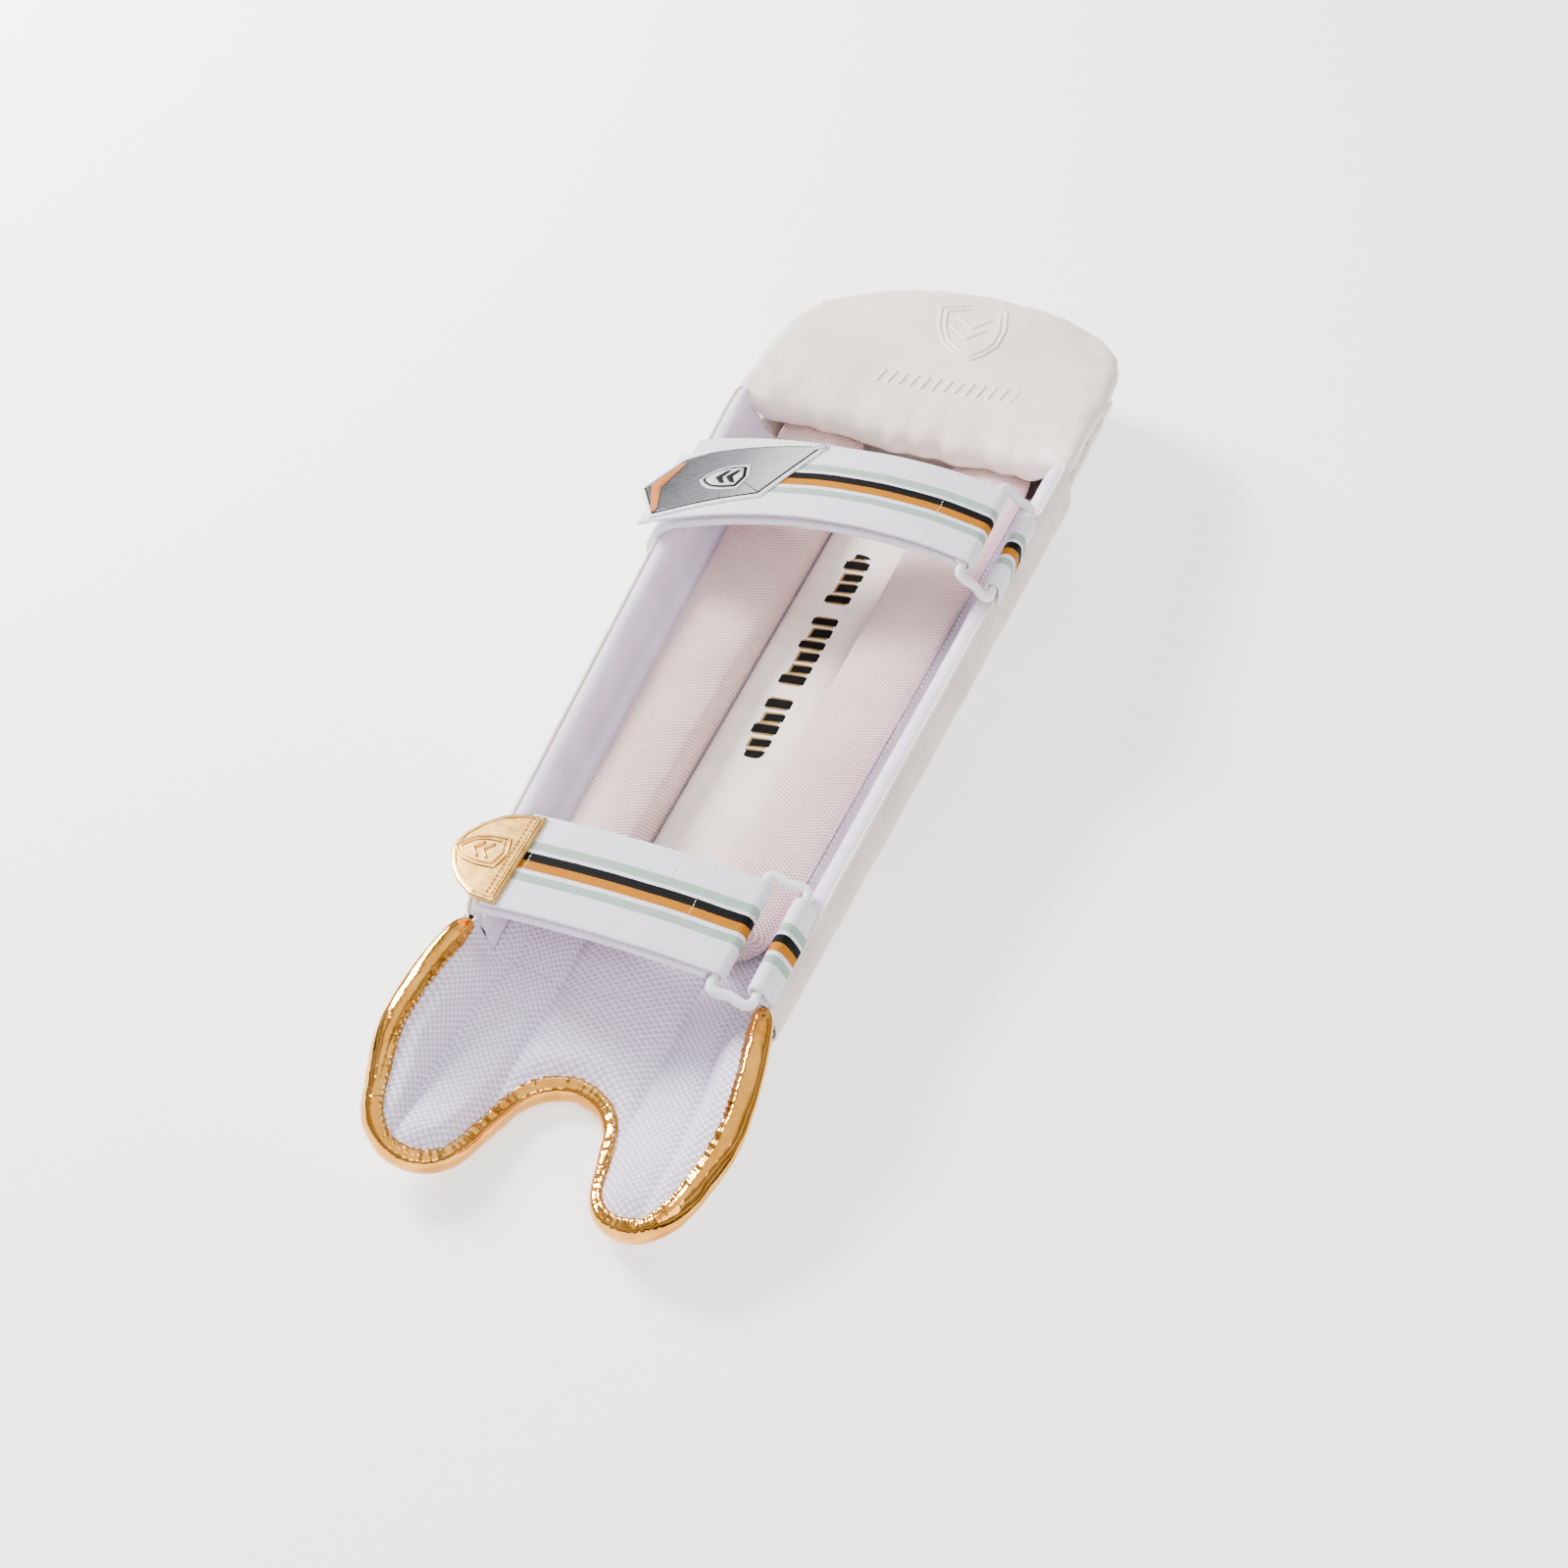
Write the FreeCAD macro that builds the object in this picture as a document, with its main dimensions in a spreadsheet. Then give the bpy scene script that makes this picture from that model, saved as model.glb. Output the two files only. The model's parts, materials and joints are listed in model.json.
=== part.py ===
import FreeCAD, Part
import Sketcher
import math
import os

# Wicket-keeper's leg pad, lying on its face with the leg side up.
#
# +Y runs from the instep to the crown, +X across, +Z towards the leg. The origin lies on the flat of
# the shin facing. Across the leg the pad is a trough: a flat, a bend on each side, and a wing that
# curls over it. Every layer of the trough is a ruled loft between the same two sections, so
# neighbouring layers meet face to face. Pieces on the left mirror those on the right.

doc = FreeCAD.newDocument("leg_pad")
sheet = doc.addObject("Spreadsheet::Sheet", "Sheet")

DIMENSIONS = {
    # stations along the leg
    "toe_y": -330, "ankle_y": -206, "knee_y": 185.5, "crown_y": 330, "seam_gap": 0.6,
    # trough sections: half width of the flat, outer bend radii, swept angles
    "flat": 32, "toe_bend": 84, "toe_sweep": 50,
    "ankle_bend": 48, "ankle_wing_bend": 50, "ankle_sweep": 92, "ankle_wing_sweep": 92,
    "knee_bend": 66, "knee_wing_bend": 70, "knee_sweep": 95, "knee_wing_sweep": 95,
    "crown_bend": 70, "crown_sweep": 84,
    "fold_angle": 60, "fold_gap": 0.6, "wing_top_gap": 11,
    # layers of the shin and the wings
    "cover": 2, "cane_layer": 7, "foam": 7, "lining": 1.5, "wing_foam": 8,
    "cane_radius": 3, "cane_pitch": 13, "cane_angle": 24,
    # instep
    "instep_foam": 6, "roll": 8, "roll_gap": 1.2, "roll_gap_angle": 1.2, "roll_play": 0.7,
    "binding": 6, "binding_angle": 6,
    "notch_radius": 24, "notch_y": -279, "lobe_x": 58, "lobe_radius": 28, "lobe_flare": 16,
    # knee
    "knee_roll": 6, "knee_roll_pitch": 27, "knee_roll_gap": 3, "knee_foam": 5, "knee_play": 0.3,
    "arch_radius": 105, "welt": 3, "cushion_edge": 8, "cushion_skin": 2, "cushion_play": 0.9,
    "cushion_knee_sweep": 83, "cushion_crown_sweep": 76, "cushion_crown": 900,
    # pads on the leg side of the shin
    "bolster_inner": 25.2, "bolster_angle": 59, "bolster_wall": 24, "bolster_lip": 6,
    "bolster_crown": 110, "bolster_skin": 1.5, "pad_start": 34, "pad_end": 12,
    "centre_half": 24, "centre_rise": 8, "centre_skin": 1.2, "centre_round": 2.5,
    "print_width": 22, "print_length": 190, "print_film": 0.3, "print_y": 40,
    # straps: plies, ring, keeper and the anchor sewn inside the left wing
    "strap_width": 60, "strap": 2.2, "pile": 2.9, "hook": 1.8, "wrap_radius": 2.5,
    "ring_bar": 4, "bar_pitch": 20, "bar_round": 1.6, "ring_window": 63, "ring_end": 5,
    "keeper_width": 54, "anchor_angle": 12, "anchor_half": 30, "patch_inset": 4, "ply_play": 0.05,
    "upper_y": 98, "upper_bar_x": 74.3, "upper_bar_z": 87.5, "upper_ring_tilt": 37,
    "upper_tilt": 12, "upper_bend": 300, "upper_flap": 176, "upper_base": 166,
    "upper_tail": 5.6, "upper_tail_angle": 80,
    "lower_y": -181, "lower_bar_x": 52.3, "lower_bar_z": 63, "lower_ring_tilt": 12,
    "lower_tilt": 5, "lower_bend": 600, "lower_flap": 118, "lower_base": 122,
    "lower_tail": 5.6, "lower_tail_angle": 80,
    "label": 1.2, "label_from": 108, "label_to": 188, "label_width": 54,
    "tab": 2.4, "tab_from": 110, "tab_to": 147, "tab_width": 58,
}
for row, (alias, number) in enumerate(DIMENSIONS.items(), 1):
    sheet.set(f"A{row}", alias)
    sheet.set(f"B{row}", str(number))
    sheet.setAlias(f"B{row}", alias)
doc.recompute()


# ----------------------------------------------------------------------- numbers bound to the sheet

class Size:
    """A number together with the expression over the sheet that it comes from."""

    def __init__(self, text, number):
        self.text = text
        self.number = number

    def joined(self, sign, other, number):
        return Size(f"({self.text} {sign} {other.text})", number)

    def __add__(self, other):
        other = as_size(other)
        return self.joined("+", other, self.number + other.number)

    def __sub__(self, other):
        other = as_size(other)
        return self.joined("-", other, self.number - other.number)

    def __mul__(self, other):
        other = as_size(other)
        return self.joined("*", other, self.number * other.number)

    def __truediv__(self, other):
        other = as_size(other)
        return self.joined("/", other, self.number / other.number)

    def __neg__(self):
        return as_size(0) - self


def as_size(number):
    return number if isinstance(number, Size) else Size(f"({number})", float(number))


def size(name):
    """The sheet's cell of that name."""
    return Size(f"Sheet.{name}", float(getattr(sheet, name)))


def sin(angle):
    return Size(f"sin({angle.text})", math.sin(math.radians(angle.number)))


def cos(angle):
    return Size(f"cos({angle.text})", math.cos(math.radians(angle.number)))


def between(low, high, share):
    return low + (high - low) * share


def hypotenuse(*sides):
    """The length of the diagonal over any number of sides."""
    squares = as_size(0)
    for side in sides:
        squares = squares + side * side
    return Size(f"sqrt({squares.text})", math.sqrt(squares.number))


# ------------------------------------------------------------------------------ sketches and solids

class Outline:
    """A closed outline, anticlockwise: corners, each with the arc that leaves it or None for a line.

    An arc is (radius, side): side is +1 where its centre lies left of the way round, -1 right.
    """

    def __init__(self):
        self.corners = []
        self.arcs = []

    def add(self, across, up, arc=None):
        self.corners.append((as_size(across), as_size(up)))
        self.arcs.append(arc)
        return self

    def mirrored(self):
        """The outline's mirror image, left for right."""
        other = Outline()
        for (across, up), arc in zip(self.corners, self.arcs):
            other.add(-across, up, (arc[0], -arc[1]) if arc else None)
        return other


def arc_middle(start, end, radius, side):
    """The middle point of the shorter arc from start to end."""
    chord = end - start
    left = FreeCAD.Vector(-chord.y, chord.x, 0).normalize()
    half = chord.Length / 2
    centre = start + chord * 0.5 + left * (side * math.sqrt(max(radius ** 2 - half ** 2, 0)))
    return centre - left * (side * radius)


def pin(sketch, edge, end, kind, axis, place):
    """Holds one coordinate of an edge's end by an expression over the sheet."""
    if abs(place.number) < 1e-9:
        sketch.addConstraint(Sketcher.Constraint("PointOnObject", edge, end, axis))
        return
    if place.number > 0:
        held = sketch.addConstraint(Sketcher.Constraint(kind, -1, 1, edge, end, place.number))
        sketch.setExpression(f"Constraints[{held}]", place.text)
    else:
        held = sketch.addConstraint(Sketcher.Constraint(kind, edge, end, -1, 1, -place.number))
        sketch.setExpression(f"Constraints[{held}]", f"-{place.text}")


def draw(sketch, outline):
    """Draws an outline and holds each of its corners and radii."""
    points = [FreeCAD.Vector(across.number, up.number, 0) for across, up in outline.corners]
    edges = []
    for index, arc in enumerate(outline.arcs):
        start = points[index]
        end = points[(index + 1) % len(points)]
        curve = Part.LineSegment(start, end)
        if arc:
            curve = Part.Arc(start, arc_middle(start, end, arc[0].number, arc[1]), end)
        edge = sketch.addGeometry(curve, False)
        straight_on = (sketch.getPoint(edge, 1) - start).Length < 1e-6
        edges.append((edge, 1, 2) if straight_on else (edge, 2, 1))
    for index, (edge, start, end) in enumerate(edges):
        following = edges[(index + 1) % len(edges)]
        sketch.addConstraint(Sketcher.Constraint("Coincident", edge, end, following[0], following[1]))
    for (across, up), (edge, start, end) in zip(outline.corners, edges):
        pin(sketch, edge, start, "DistanceX", -2, across)
        pin(sketch, edge, start, "DistanceY", -1, up)
    for arc, (edge, start, end) in zip(outline.arcs, edges):
        if arc:
            held = sketch.addConstraint(Sketcher.Constraint("Radius", edge, arc[0].number))
            sketch.setExpression(f"Constraints[{held}]", arc[0].text)


def new_body(label):
    body = doc.addObject("PartDesign::Body", label)
    body.Label = label
    return body


def new_sketch(body, role, outlines, lift=None):
    """A sketch on one of the body's origin planes, raised off it by lift."""
    plane = [item for item in body.Origin.OriginFeatures if item.Role == role][0]
    sketch = body.newObject("Sketcher::SketchObject", body.Label + "_sketch")
    sketch.AttachmentSupport = [(plane, "")]
    sketch.MapMode = "FlatFace"
    if lift is not None:
        sketch.setExpression("AttachmentOffset.Base.z", lift.text)
    for outline in outlines:
        draw(sketch, outline)
    return sketch


def loft(label, stations):
    """A straight-sided loft through (y, outline) stations."""
    body = new_body(label)
    sketches = [new_sketch(body, "XZ_Plane", [outline], -place) for place, outline in stations]
    feature = body.newObject("PartDesign::AdditiveLoft", label + "_loft")
    feature.Profile = sketches[0]
    feature.Sections = sketches[1:]
    feature.Ruled = True
    return body


def pad(label, role, outlines, length, lift=None):
    """A pad of equal reach on both sides of its sketch."""
    body = new_body(label)
    feature = body.newObject("PartDesign::Pad", label + "_pad")
    feature.Profile = new_sketch(body, role, outlines, lift)
    feature.SideType = "Symmetric"
    feature.setExpression("Length", length.text)
    return body


def combine(kind, label, base, tool):
    """The Part::Cut or Part::Common of two solids."""
    feature = doc.addObject(kind, label)
    feature.Label = label
    feature.Base = base
    feature.Tool = tool
    return feature


def rectangle(left, right, low, high):
    return Outline().add(left, low).add(right, low).add(right, high).add(left, high)


# ---------------------------------------------------------------------------------- trough sections

class Section:
    """The trough across the leg at one station."""

    def __init__(self, bend, sweep, wing_bend=None, wing_sweep=None):
        self.flat = size("flat")
        self.bend = bend
        self.sweep = sweep
        self.wing_bend = wing_bend
        self.wing_sweep = wing_sweep

    def point(self, depth, angle):
        """A point of the bend, at a depth below the outer skin."""
        radius = self.bend - depth
        return self.flat + radius * sin(angle), self.bend - radius * cos(angle)

    def wing_point(self, depth, angle):
        radius = self.wing_bend - depth
        fold = size("fold_angle")
        shift = self.bend - self.wing_bend
        across = self.flat + shift * sin(fold) + radius * sin(angle)
        return across, self.bend - shift * cos(fold) - radius * cos(angle)

    def trough(self, outer, inner, sweep):
        """The closed outline of a layer between two depths, both sides."""
        outer_arc = (self.bend - outer, 1)
        inner_arc = (self.bend - inner, -1)
        right_out = self.point(outer, sweep)
        right_in = self.point(inner, sweep)
        outline = Outline().add(-self.flat, outer).add(self.flat, outer, outer_arc)
        outline.add(*right_out).add(*right_in, inner_arc)
        outline.add(self.flat, inner).add(-self.flat, inner, inner_arc)
        return outline.add(-right_in[0], right_in[1]).add(-right_out[0], right_out[1], outer_arc)

    def bend_sector(self, outer, inner, start, end):
        outline = Outline().add(*self.point(outer, start), (self.bend - outer, 1))
        outline.add(*self.point(outer, end)).add(*self.point(inner, end), (self.bend - inner, -1))
        return outline.add(*self.point(inner, start))

    def wing_sector(self, outer, inner, start, end):
        outline = Outline().add(*self.wing_point(outer, start), (self.wing_bend - outer, 1))
        outline.add(*self.wing_point(outer, end))
        outline.add(*self.wing_point(inner, end), (self.wing_bend - inner, -1))
        return outline.add(*self.wing_point(inner, start))

    def bolster(self, skin):
        """A pad lying in the corner of the trough, shrunk by its skin."""
        bottom = SHIN_DEPTH + skin
        inner = size("bolster_inner") + skin
        edge = self.point(bottom, size("bolster_angle") - skin * 2)
        lip = edge[1] + size("bolster_lip") - skin
        wall = SHIN_DEPTH + size("bolster_wall") - skin
        outline = Outline().add(inner, bottom).add(self.flat, bottom, (self.bend - bottom, 1))
        outline.add(*edge).add(edge[0], lip, (size("bolster_crown"), 1))
        return outline.add(inner, wall)

    def cushion(self, depth, sweep):
        edge = self.point(depth, sweep)
        outline = Outline().add(-self.flat, depth).add(self.flat, depth, (self.bend - depth, 1))
        outline.add(*edge, (size("cushion_crown"), 1))
        return outline.add(-edge[0], edge[1], (self.bend - depth, 1))


TOE = Section(size("toe_bend"), size("toe_sweep"))
ANKLE = Section(size("ankle_bend"), size("ankle_sweep"), size("ankle_wing_bend"),
                size("ankle_wing_sweep"))
KNEE = Section(size("knee_bend"), size("knee_sweep"), size("knee_wing_bend"),
               size("knee_wing_sweep"))
CROWN = Section(size("crown_bend"), size("crown_sweep"))

CANE_DEPTH = size("cover") + size("cane_layer")
LINING_DEPTH = CANE_DEPTH + size("foam")
SHIN_DEPTH = LINING_DEPTH + size("lining")
WING_LINING_DEPTH = size("cover") + size("wing_foam")
WING_DEPTH = WING_LINING_DEPTH + size("lining")
ROLL_DEPTH = size("cover") + size("instep_foam")
INSTEP_LINING_DEPTH = ROLL_DEPTH + size("roll")
INSTEP_DEPTH = INSTEP_LINING_DEPTH + size("lining")
KNEE_FOAM_DEPTH = size("knee_roll") + size("cover")
KNEE_DEPTH = KNEE_FOAM_DEPTH + size("knee_foam")
KNEE_START = size("knee_y") + size("seam_gap")
INSTEP_START = size("ankle_y") - size("seam_gap")


def shin_section(place):
    """The section at a place between the ankle and the knee."""
    share = (place - size("ankle_y")) / (size("knee_y") - size("ankle_y"))
    return Section(between(ANKLE.bend, KNEE.bend, share), between(ANKLE.sweep, KNEE.sweep, share),
                   between(ANKLE.wing_bend, KNEE.wing_bend, share),
                   between(ANKLE.wing_sweep, KNEE.wing_sweep, share))


def knee_section(place):
    """The section at a place between the knee and the crown."""
    share = (place - KNEE_START) / (size("crown_y") - KNEE_START)
    return Section(between(KNEE.bend, CROWN.bend, share), between(KNEE.sweep, CROWN.sweep, share))


# -------------------------------------------------------------------------------------------- shin

def shin_layer(label, outer, inner):
    fold = size("fold_angle")
    return loft(label, [(size("ankle_y"), ANKLE.trough(outer, inner, fold)),
                        (size("knee_y"), KNEE.trough(outer, inner, fold))])


def cane(start, end):
    """A round cane from one (x, z) at the ankle end to another at the knee end."""
    rod = doc.addObject("Part::Cylinder", "cane")
    run = size("knee_y") - size("ankle_y")
    length = hypotenuse(end[0] - start[0], run, end[1] - start[1])
    low = FreeCAD.Vector(start[0].number, size("ankle_y").number, start[1].number)
    high = FreeCAD.Vector(end[0].number, size("knee_y").number, end[1].number)
    rod.setExpression("Radius", size("cane_radius").text)
    rod.setExpression("Height", length.text)
    rod.Placement = FreeCAD.Placement(low, FreeCAD.Rotation(FreeCAD.Vector(0, 0, 1), high - low))
    return rod


def make_canes():
    """Five canes under the flat and one under each bend."""
    depth = size("cover") + size("cane_layer") / 2
    rods = []
    for step in (-2, -1, 0, 1, 2):
        spot = (size("cane_pitch") * step, depth)
        rods.append(cane(spot, spot))
    for side in (-1, 1):
        spots = [section.point(depth, size("cane_angle")) for section in (ANKLE, KNEE)]
        rods.append(cane(*[(across * side, up) for across, up in spots]))
    canes = doc.addObject("Part::Compound", "shin_canes")
    canes.Label = "shin_canes"
    canes.Links = rods
    return canes


def make_shin():
    cover = shin_layer("shin_cover", as_size(0), size("cover"))
    canes = make_canes()
    block = shin_layer("wadding_block", size("cover"), CANE_DEPTH)
    wadding = combine("Part::Cut", "cane_wadding", block, canes)
    foam = shin_layer("shin_foam", CANE_DEPTH, LINING_DEPTH)
    lining = shin_layer("shin_lining", LINING_DEPTH, SHIN_DEPTH)
    return [cover, canes, wadding, foam, lining]


def bolster_solid(label, side, skin):
    start = size("ankle_y") + size("pad_start") + skin
    end = size("knee_y") - size("pad_end") - skin
    outlines = [shin_section(place).bolster(skin) for place in (start, end)]
    if side < 0:
        outlines = [outline.mirrored() for outline in outlines]
    return loft(label, list(zip((start, end), outlines)))


def make_bolsters():
    made = []
    for name, side in (("left", -1), ("right", 1)):
        foam = bolster_solid(name + "_bolster_foam", side, size("bolster_skin"))
        block = bolster_solid(name + "_bolster_block", side, as_size(0))
        made += [foam, combine("Part::Cut", name + "_bolster_cover", block, foam)]
    return made


def centre_solid(label, skin):
    half = size("centre_half") - skin
    start = size("ankle_y") + size("pad_start") + skin
    end = size("knee_y") - size("pad_end") - skin
    rise = size("centre_rise") - skin * 2
    body = pad(label, "XY_Plane", [rectangle(-half, half, start, end)], rise,
               SHIN_DEPTH + size("centre_rise") / 2)
    doc.recompute()
    block = body.Tip
    top = [f"Edge{number}" for number, edge in enumerate(block.Shape.Edges, 1)
           if edge.BoundBox.ZLength < 0.1 and edge.CenterOfMass.z > block.Shape.CenterOfMass.z]
    rounded = body.newObject("PartDesign::Fillet", label + "_fillet")
    rounded.Base = (block, top)
    rounded.setExpression("Radius", (size("centre_round") - skin).text)
    return body


def make_centre_pad():
    foam = centre_solid("centre_pad_foam", size("centre_skin"))
    cover = combine("Part::Cut", "centre_pad_cover", centre_solid("centre_block", as_size(0)), foam)
    half = size("print_width") / 2
    reach = size("print_length") / 2
    place = size("print_y")
    film = pad("centre_print", "XY_Plane", [rectangle(-half, half, place - reach, place + reach)],
               size("print_film"), SHIN_DEPTH + size("centre_rise") + size("print_film") / 2)
    return [foam, cover, film]


# ------------------------------------------------------------------------------------------- wings

def wing_layer(label, side, outer, inner, low, high, width=None):
    """A layer of a wing between two places: all of it, or a band of some degrees at its edge."""
    outlines = []
    for place in (low, high):
        section = shin_section(place)
        end = section.wing_sweep
        start = end - width if width else size("fold_angle") + size("fold_gap")
        outlines.append(section.wing_sector(outer, inner, start, end))
    if side < 0:
        outlines = [outline.mirrored() for outline in outlines]
    return loft(label, list(zip((low, high), outlines)))


def make_wings():
    made = []
    low = size("ankle_y")
    high = size("knee_y") - size("wing_top_gap")
    layers = (("cover", as_size(0), size("cover")),
              ("foam", size("cover"), WING_LINING_DEPTH),
              ("lining", WING_LINING_DEPTH, WING_DEPTH))
    for name, side in (("left", -1), ("right", 1)):
        for layer, outer, inner in layers:
            made.append(wing_layer(f"{name}_wing_{layer}", side, outer, inner, low, high))
    for name in ("upper", "lower"):
        outer = WING_DEPTH + size("ply_play")
        low = size(name + "_y") - size("anchor_half")
        low = low if name == "upper" else size("ankle_y")
        made.append(wing_layer(name + "_strap_anchor", -1, outer, outer + size("strap"), low,
                               size(name + "_y") + size("anchor_half"), size("anchor_angle")))
    return made


# ------------------------------------------------------------------------------------------ instep

def toe_outline(inset):
    """The plan of the instep: a notch between two round lobes, all drawn in by inset."""
    lobe = size("lobe_radius") - inset
    notch = size("notch_radius") + inset
    lobe_y = size("toe_y") + size("lobe_radius")
    outside = size("lobe_x") + size("lobe_radius") + size("lobe_flare")
    right = [(notch, size("notch_y"), None),
             (size("lobe_x") - lobe, lobe_y, (lobe, 1)),
             (size("lobe_x"), lobe_y - lobe, (lobe, 1)),
             (size("lobe_x") + lobe, lobe_y, None),
             (outside, lobe_y + size("lobe_flare"), None),
             (outside, size("ankle_y"), None)]
    left = [(-across, up, None) for across, up, arc in reversed(right)]
    left[2] = left[2][:2] + ((lobe, 1),)
    left[3] = left[3][:2] + ((lobe, 1),)
    left[5] = left[5][:2] + ((notch, -1),)
    outline = Outline()
    for across, up, arc in right + left:
        outline.add(across, up, arc)
    return outline.add(0, size("notch_y") + notch, (notch, -1))


def instep_layer(label, outer, inner, inset_angle):
    return loft(label, [(size("toe_y"), TOE.trough(outer, inner, TOE.sweep - inset_angle)),
                        (INSTEP_START, ANKLE.trough(outer, inner, ANKLE.sweep - inset_angle))])


def instep_roll_solid(label, side, start, end):
    """A padded roll along one bend, between two shares of its sweep."""
    stations = []
    gap = size("roll_gap_angle")
    for place, section in ((size("toe_y"), TOE), (INSTEP_START, ANKLE)):
        room = section.sweep - size("binding_angle")
        outline = section.bend_sector(ROLL_DEPTH + size("roll_play"),
                                      INSTEP_LINING_DEPTH - size("roll_play"),
                                      room * start + gap, room * end - gap)
        stations.append((place, outline if side > 0 else outline.mirrored()))
    return loft(label, stations)


def make_instep():
    height = size("knee_bend") * 4
    full = pad("instep_plan", "XY_Plane", [toe_outline(as_size(0))], height)
    inner = pad("instep_inner_plan", "XY_Plane", [toe_outline(size("binding"))], height)
    none = as_size(0)
    inset = size("binding_angle")
    solids = [("instep_cover", instep_layer("cover_sheet", none, size("cover"), inset)),
              ("instep_foam", instep_layer("foam_sheet", size("cover"), ROLL_DEPTH, inset)),
              ("instep_lining", instep_layer("lining_sheet", INSTEP_LINING_DEPTH, INSTEP_DEPTH,
                                             inset))]
    half = size("flat") - size("roll_gap")
    middle = pad("centre_roll", "XY_Plane", [rectangle(-half, half, size("toe_y"), INSTEP_START)],
                 size("roll") - size("roll_play") * 2, ROLL_DEPTH + size("roll") / 2)
    solids.append(("instep_roll_centre", middle))
    for name, side in (("left", -1), ("right", 1)):
        solids.append((f"instep_roll_{name}_inner",
                       instep_roll_solid(name + "_inner_roll", side, 0, 0.5)))
        solids.append((f"instep_roll_{name}_outer",
                       instep_roll_solid(name + "_outer_roll", side, 0.5, 1)))
    made = [combine("Part::Common", label, solid, inner) for label, solid in solids]
    trimmed = combine("Part::Common", "instep_trimmed",
                      instep_layer("instep_block", none, INSTEP_DEPTH, none), full)
    core = combine("Part::Common", "instep_core",
                   instep_layer("instep_core_block", -size("welt"), INSTEP_DEPTH + size("welt"),
                                inset), inner)
    made.append(combine("Part::Cut", "instep_binding", trimmed, core))
    return made


# -------------------------------------------------------------------------------------------- knee

def arch(label, inset):
    """The plan of the knee section: straight sides under a round crown, drawn in by inset."""
    radius = size("arch_radius") - inset
    centre = size("crown_y") - size("arch_radius")
    outline = Outline().add(-radius, size("ankle_y")).add(radius, size("ankle_y"))
    outline.add(radius, centre, (radius, 1)).add(0, centre + radius, (radius, 1))
    outline.add(-radius, centre)
    return pad(label, "XY_Plane", [outline], size("knee_bend") * 4)


def knee_layer(label, outer, inner, low, high, inset_angle):
    stations = []
    for place in (low, high):
        section = knee_section(place)
        stations.append((place, section.trough(outer, inner, section.sweep - inset_angle)))
    return loft(label, stations)


def cushion_solid(label, skin):
    low = KNEE_START + skin
    angles = (size("cushion_knee_sweep") - skin, size("cushion_crown_sweep") - skin)
    depth = KNEE_DEPTH + size("cushion_play") + skin
    block = loft(label + "_block", [(low, KNEE.cushion(depth, angles[0])),
                                    (size("crown_y"), CROWN.cushion(depth, angles[1]))])
    return combine("Part::Common", label, block,
                   arch(label + "_plan", size("cushion_edge") + skin))


def make_knee():
    none = as_size(0)
    play = size("knee_play")
    full = arch("arch_plan", none)
    inner = arch("arch_inner_plan", size("welt"))
    sheet_plan = arch("arch_sheet_plan", size("welt") + play)
    crown = size("crown_y")
    inset = size("welt")
    made = []
    for number in (1, 2, 3):
        low = KNEE_START + size("knee_roll_pitch") * (number - 1)
        high = low + size("knee_roll_pitch") - size("knee_roll_gap")
        made.append(knee_layer(f"knee_roll_{number}", none, size("knee_roll") - play, low, high,
                               none))
    panel_start = KNEE_START + size("knee_roll_pitch") * 3
    panel = knee_layer("panel_sheet", none, size("knee_roll") - play, panel_start, crown, none)
    made.append(combine("Part::Common", "top_panel", panel, full))
    cover = knee_layer("knee_cover_sheet", size("knee_roll"), KNEE_FOAM_DEPTH, KNEE_START, crown,
                       inset + play)
    made.append(combine("Part::Common", "knee_cover", cover, sheet_plan))
    foam = knee_layer("knee_foam_sheet", KNEE_FOAM_DEPTH, KNEE_DEPTH, KNEE_START, crown,
                      inset + play)
    made.append(combine("Part::Common", "knee_foam", foam, sheet_plan))
    rim = combine("Part::Common", "knee_trimmed",
                  knee_layer("knee_block", size("knee_roll"), KNEE_DEPTH, KNEE_START, crown, none),
                  full)
    core = combine("Part::Common", "knee_core",
                   knee_layer("knee_core_block", none, KNEE_DEPTH + size("welt"),
                              KNEE_START - size("welt"), crown, inset), inner)
    made.append(combine("Part::Cut", "knee_welt", rim, core))
    cushion = cushion_solid("knee_cushion_foam", size("cushion_skin"))
    made.append(cushion)
    made.append(combine("Part::Cut", "knee_cushion_cover", cushion_solid("cushion_whole", none),
                        cushion))
    return made


# ------------------------------------------------------------------------------------------ straps

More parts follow.
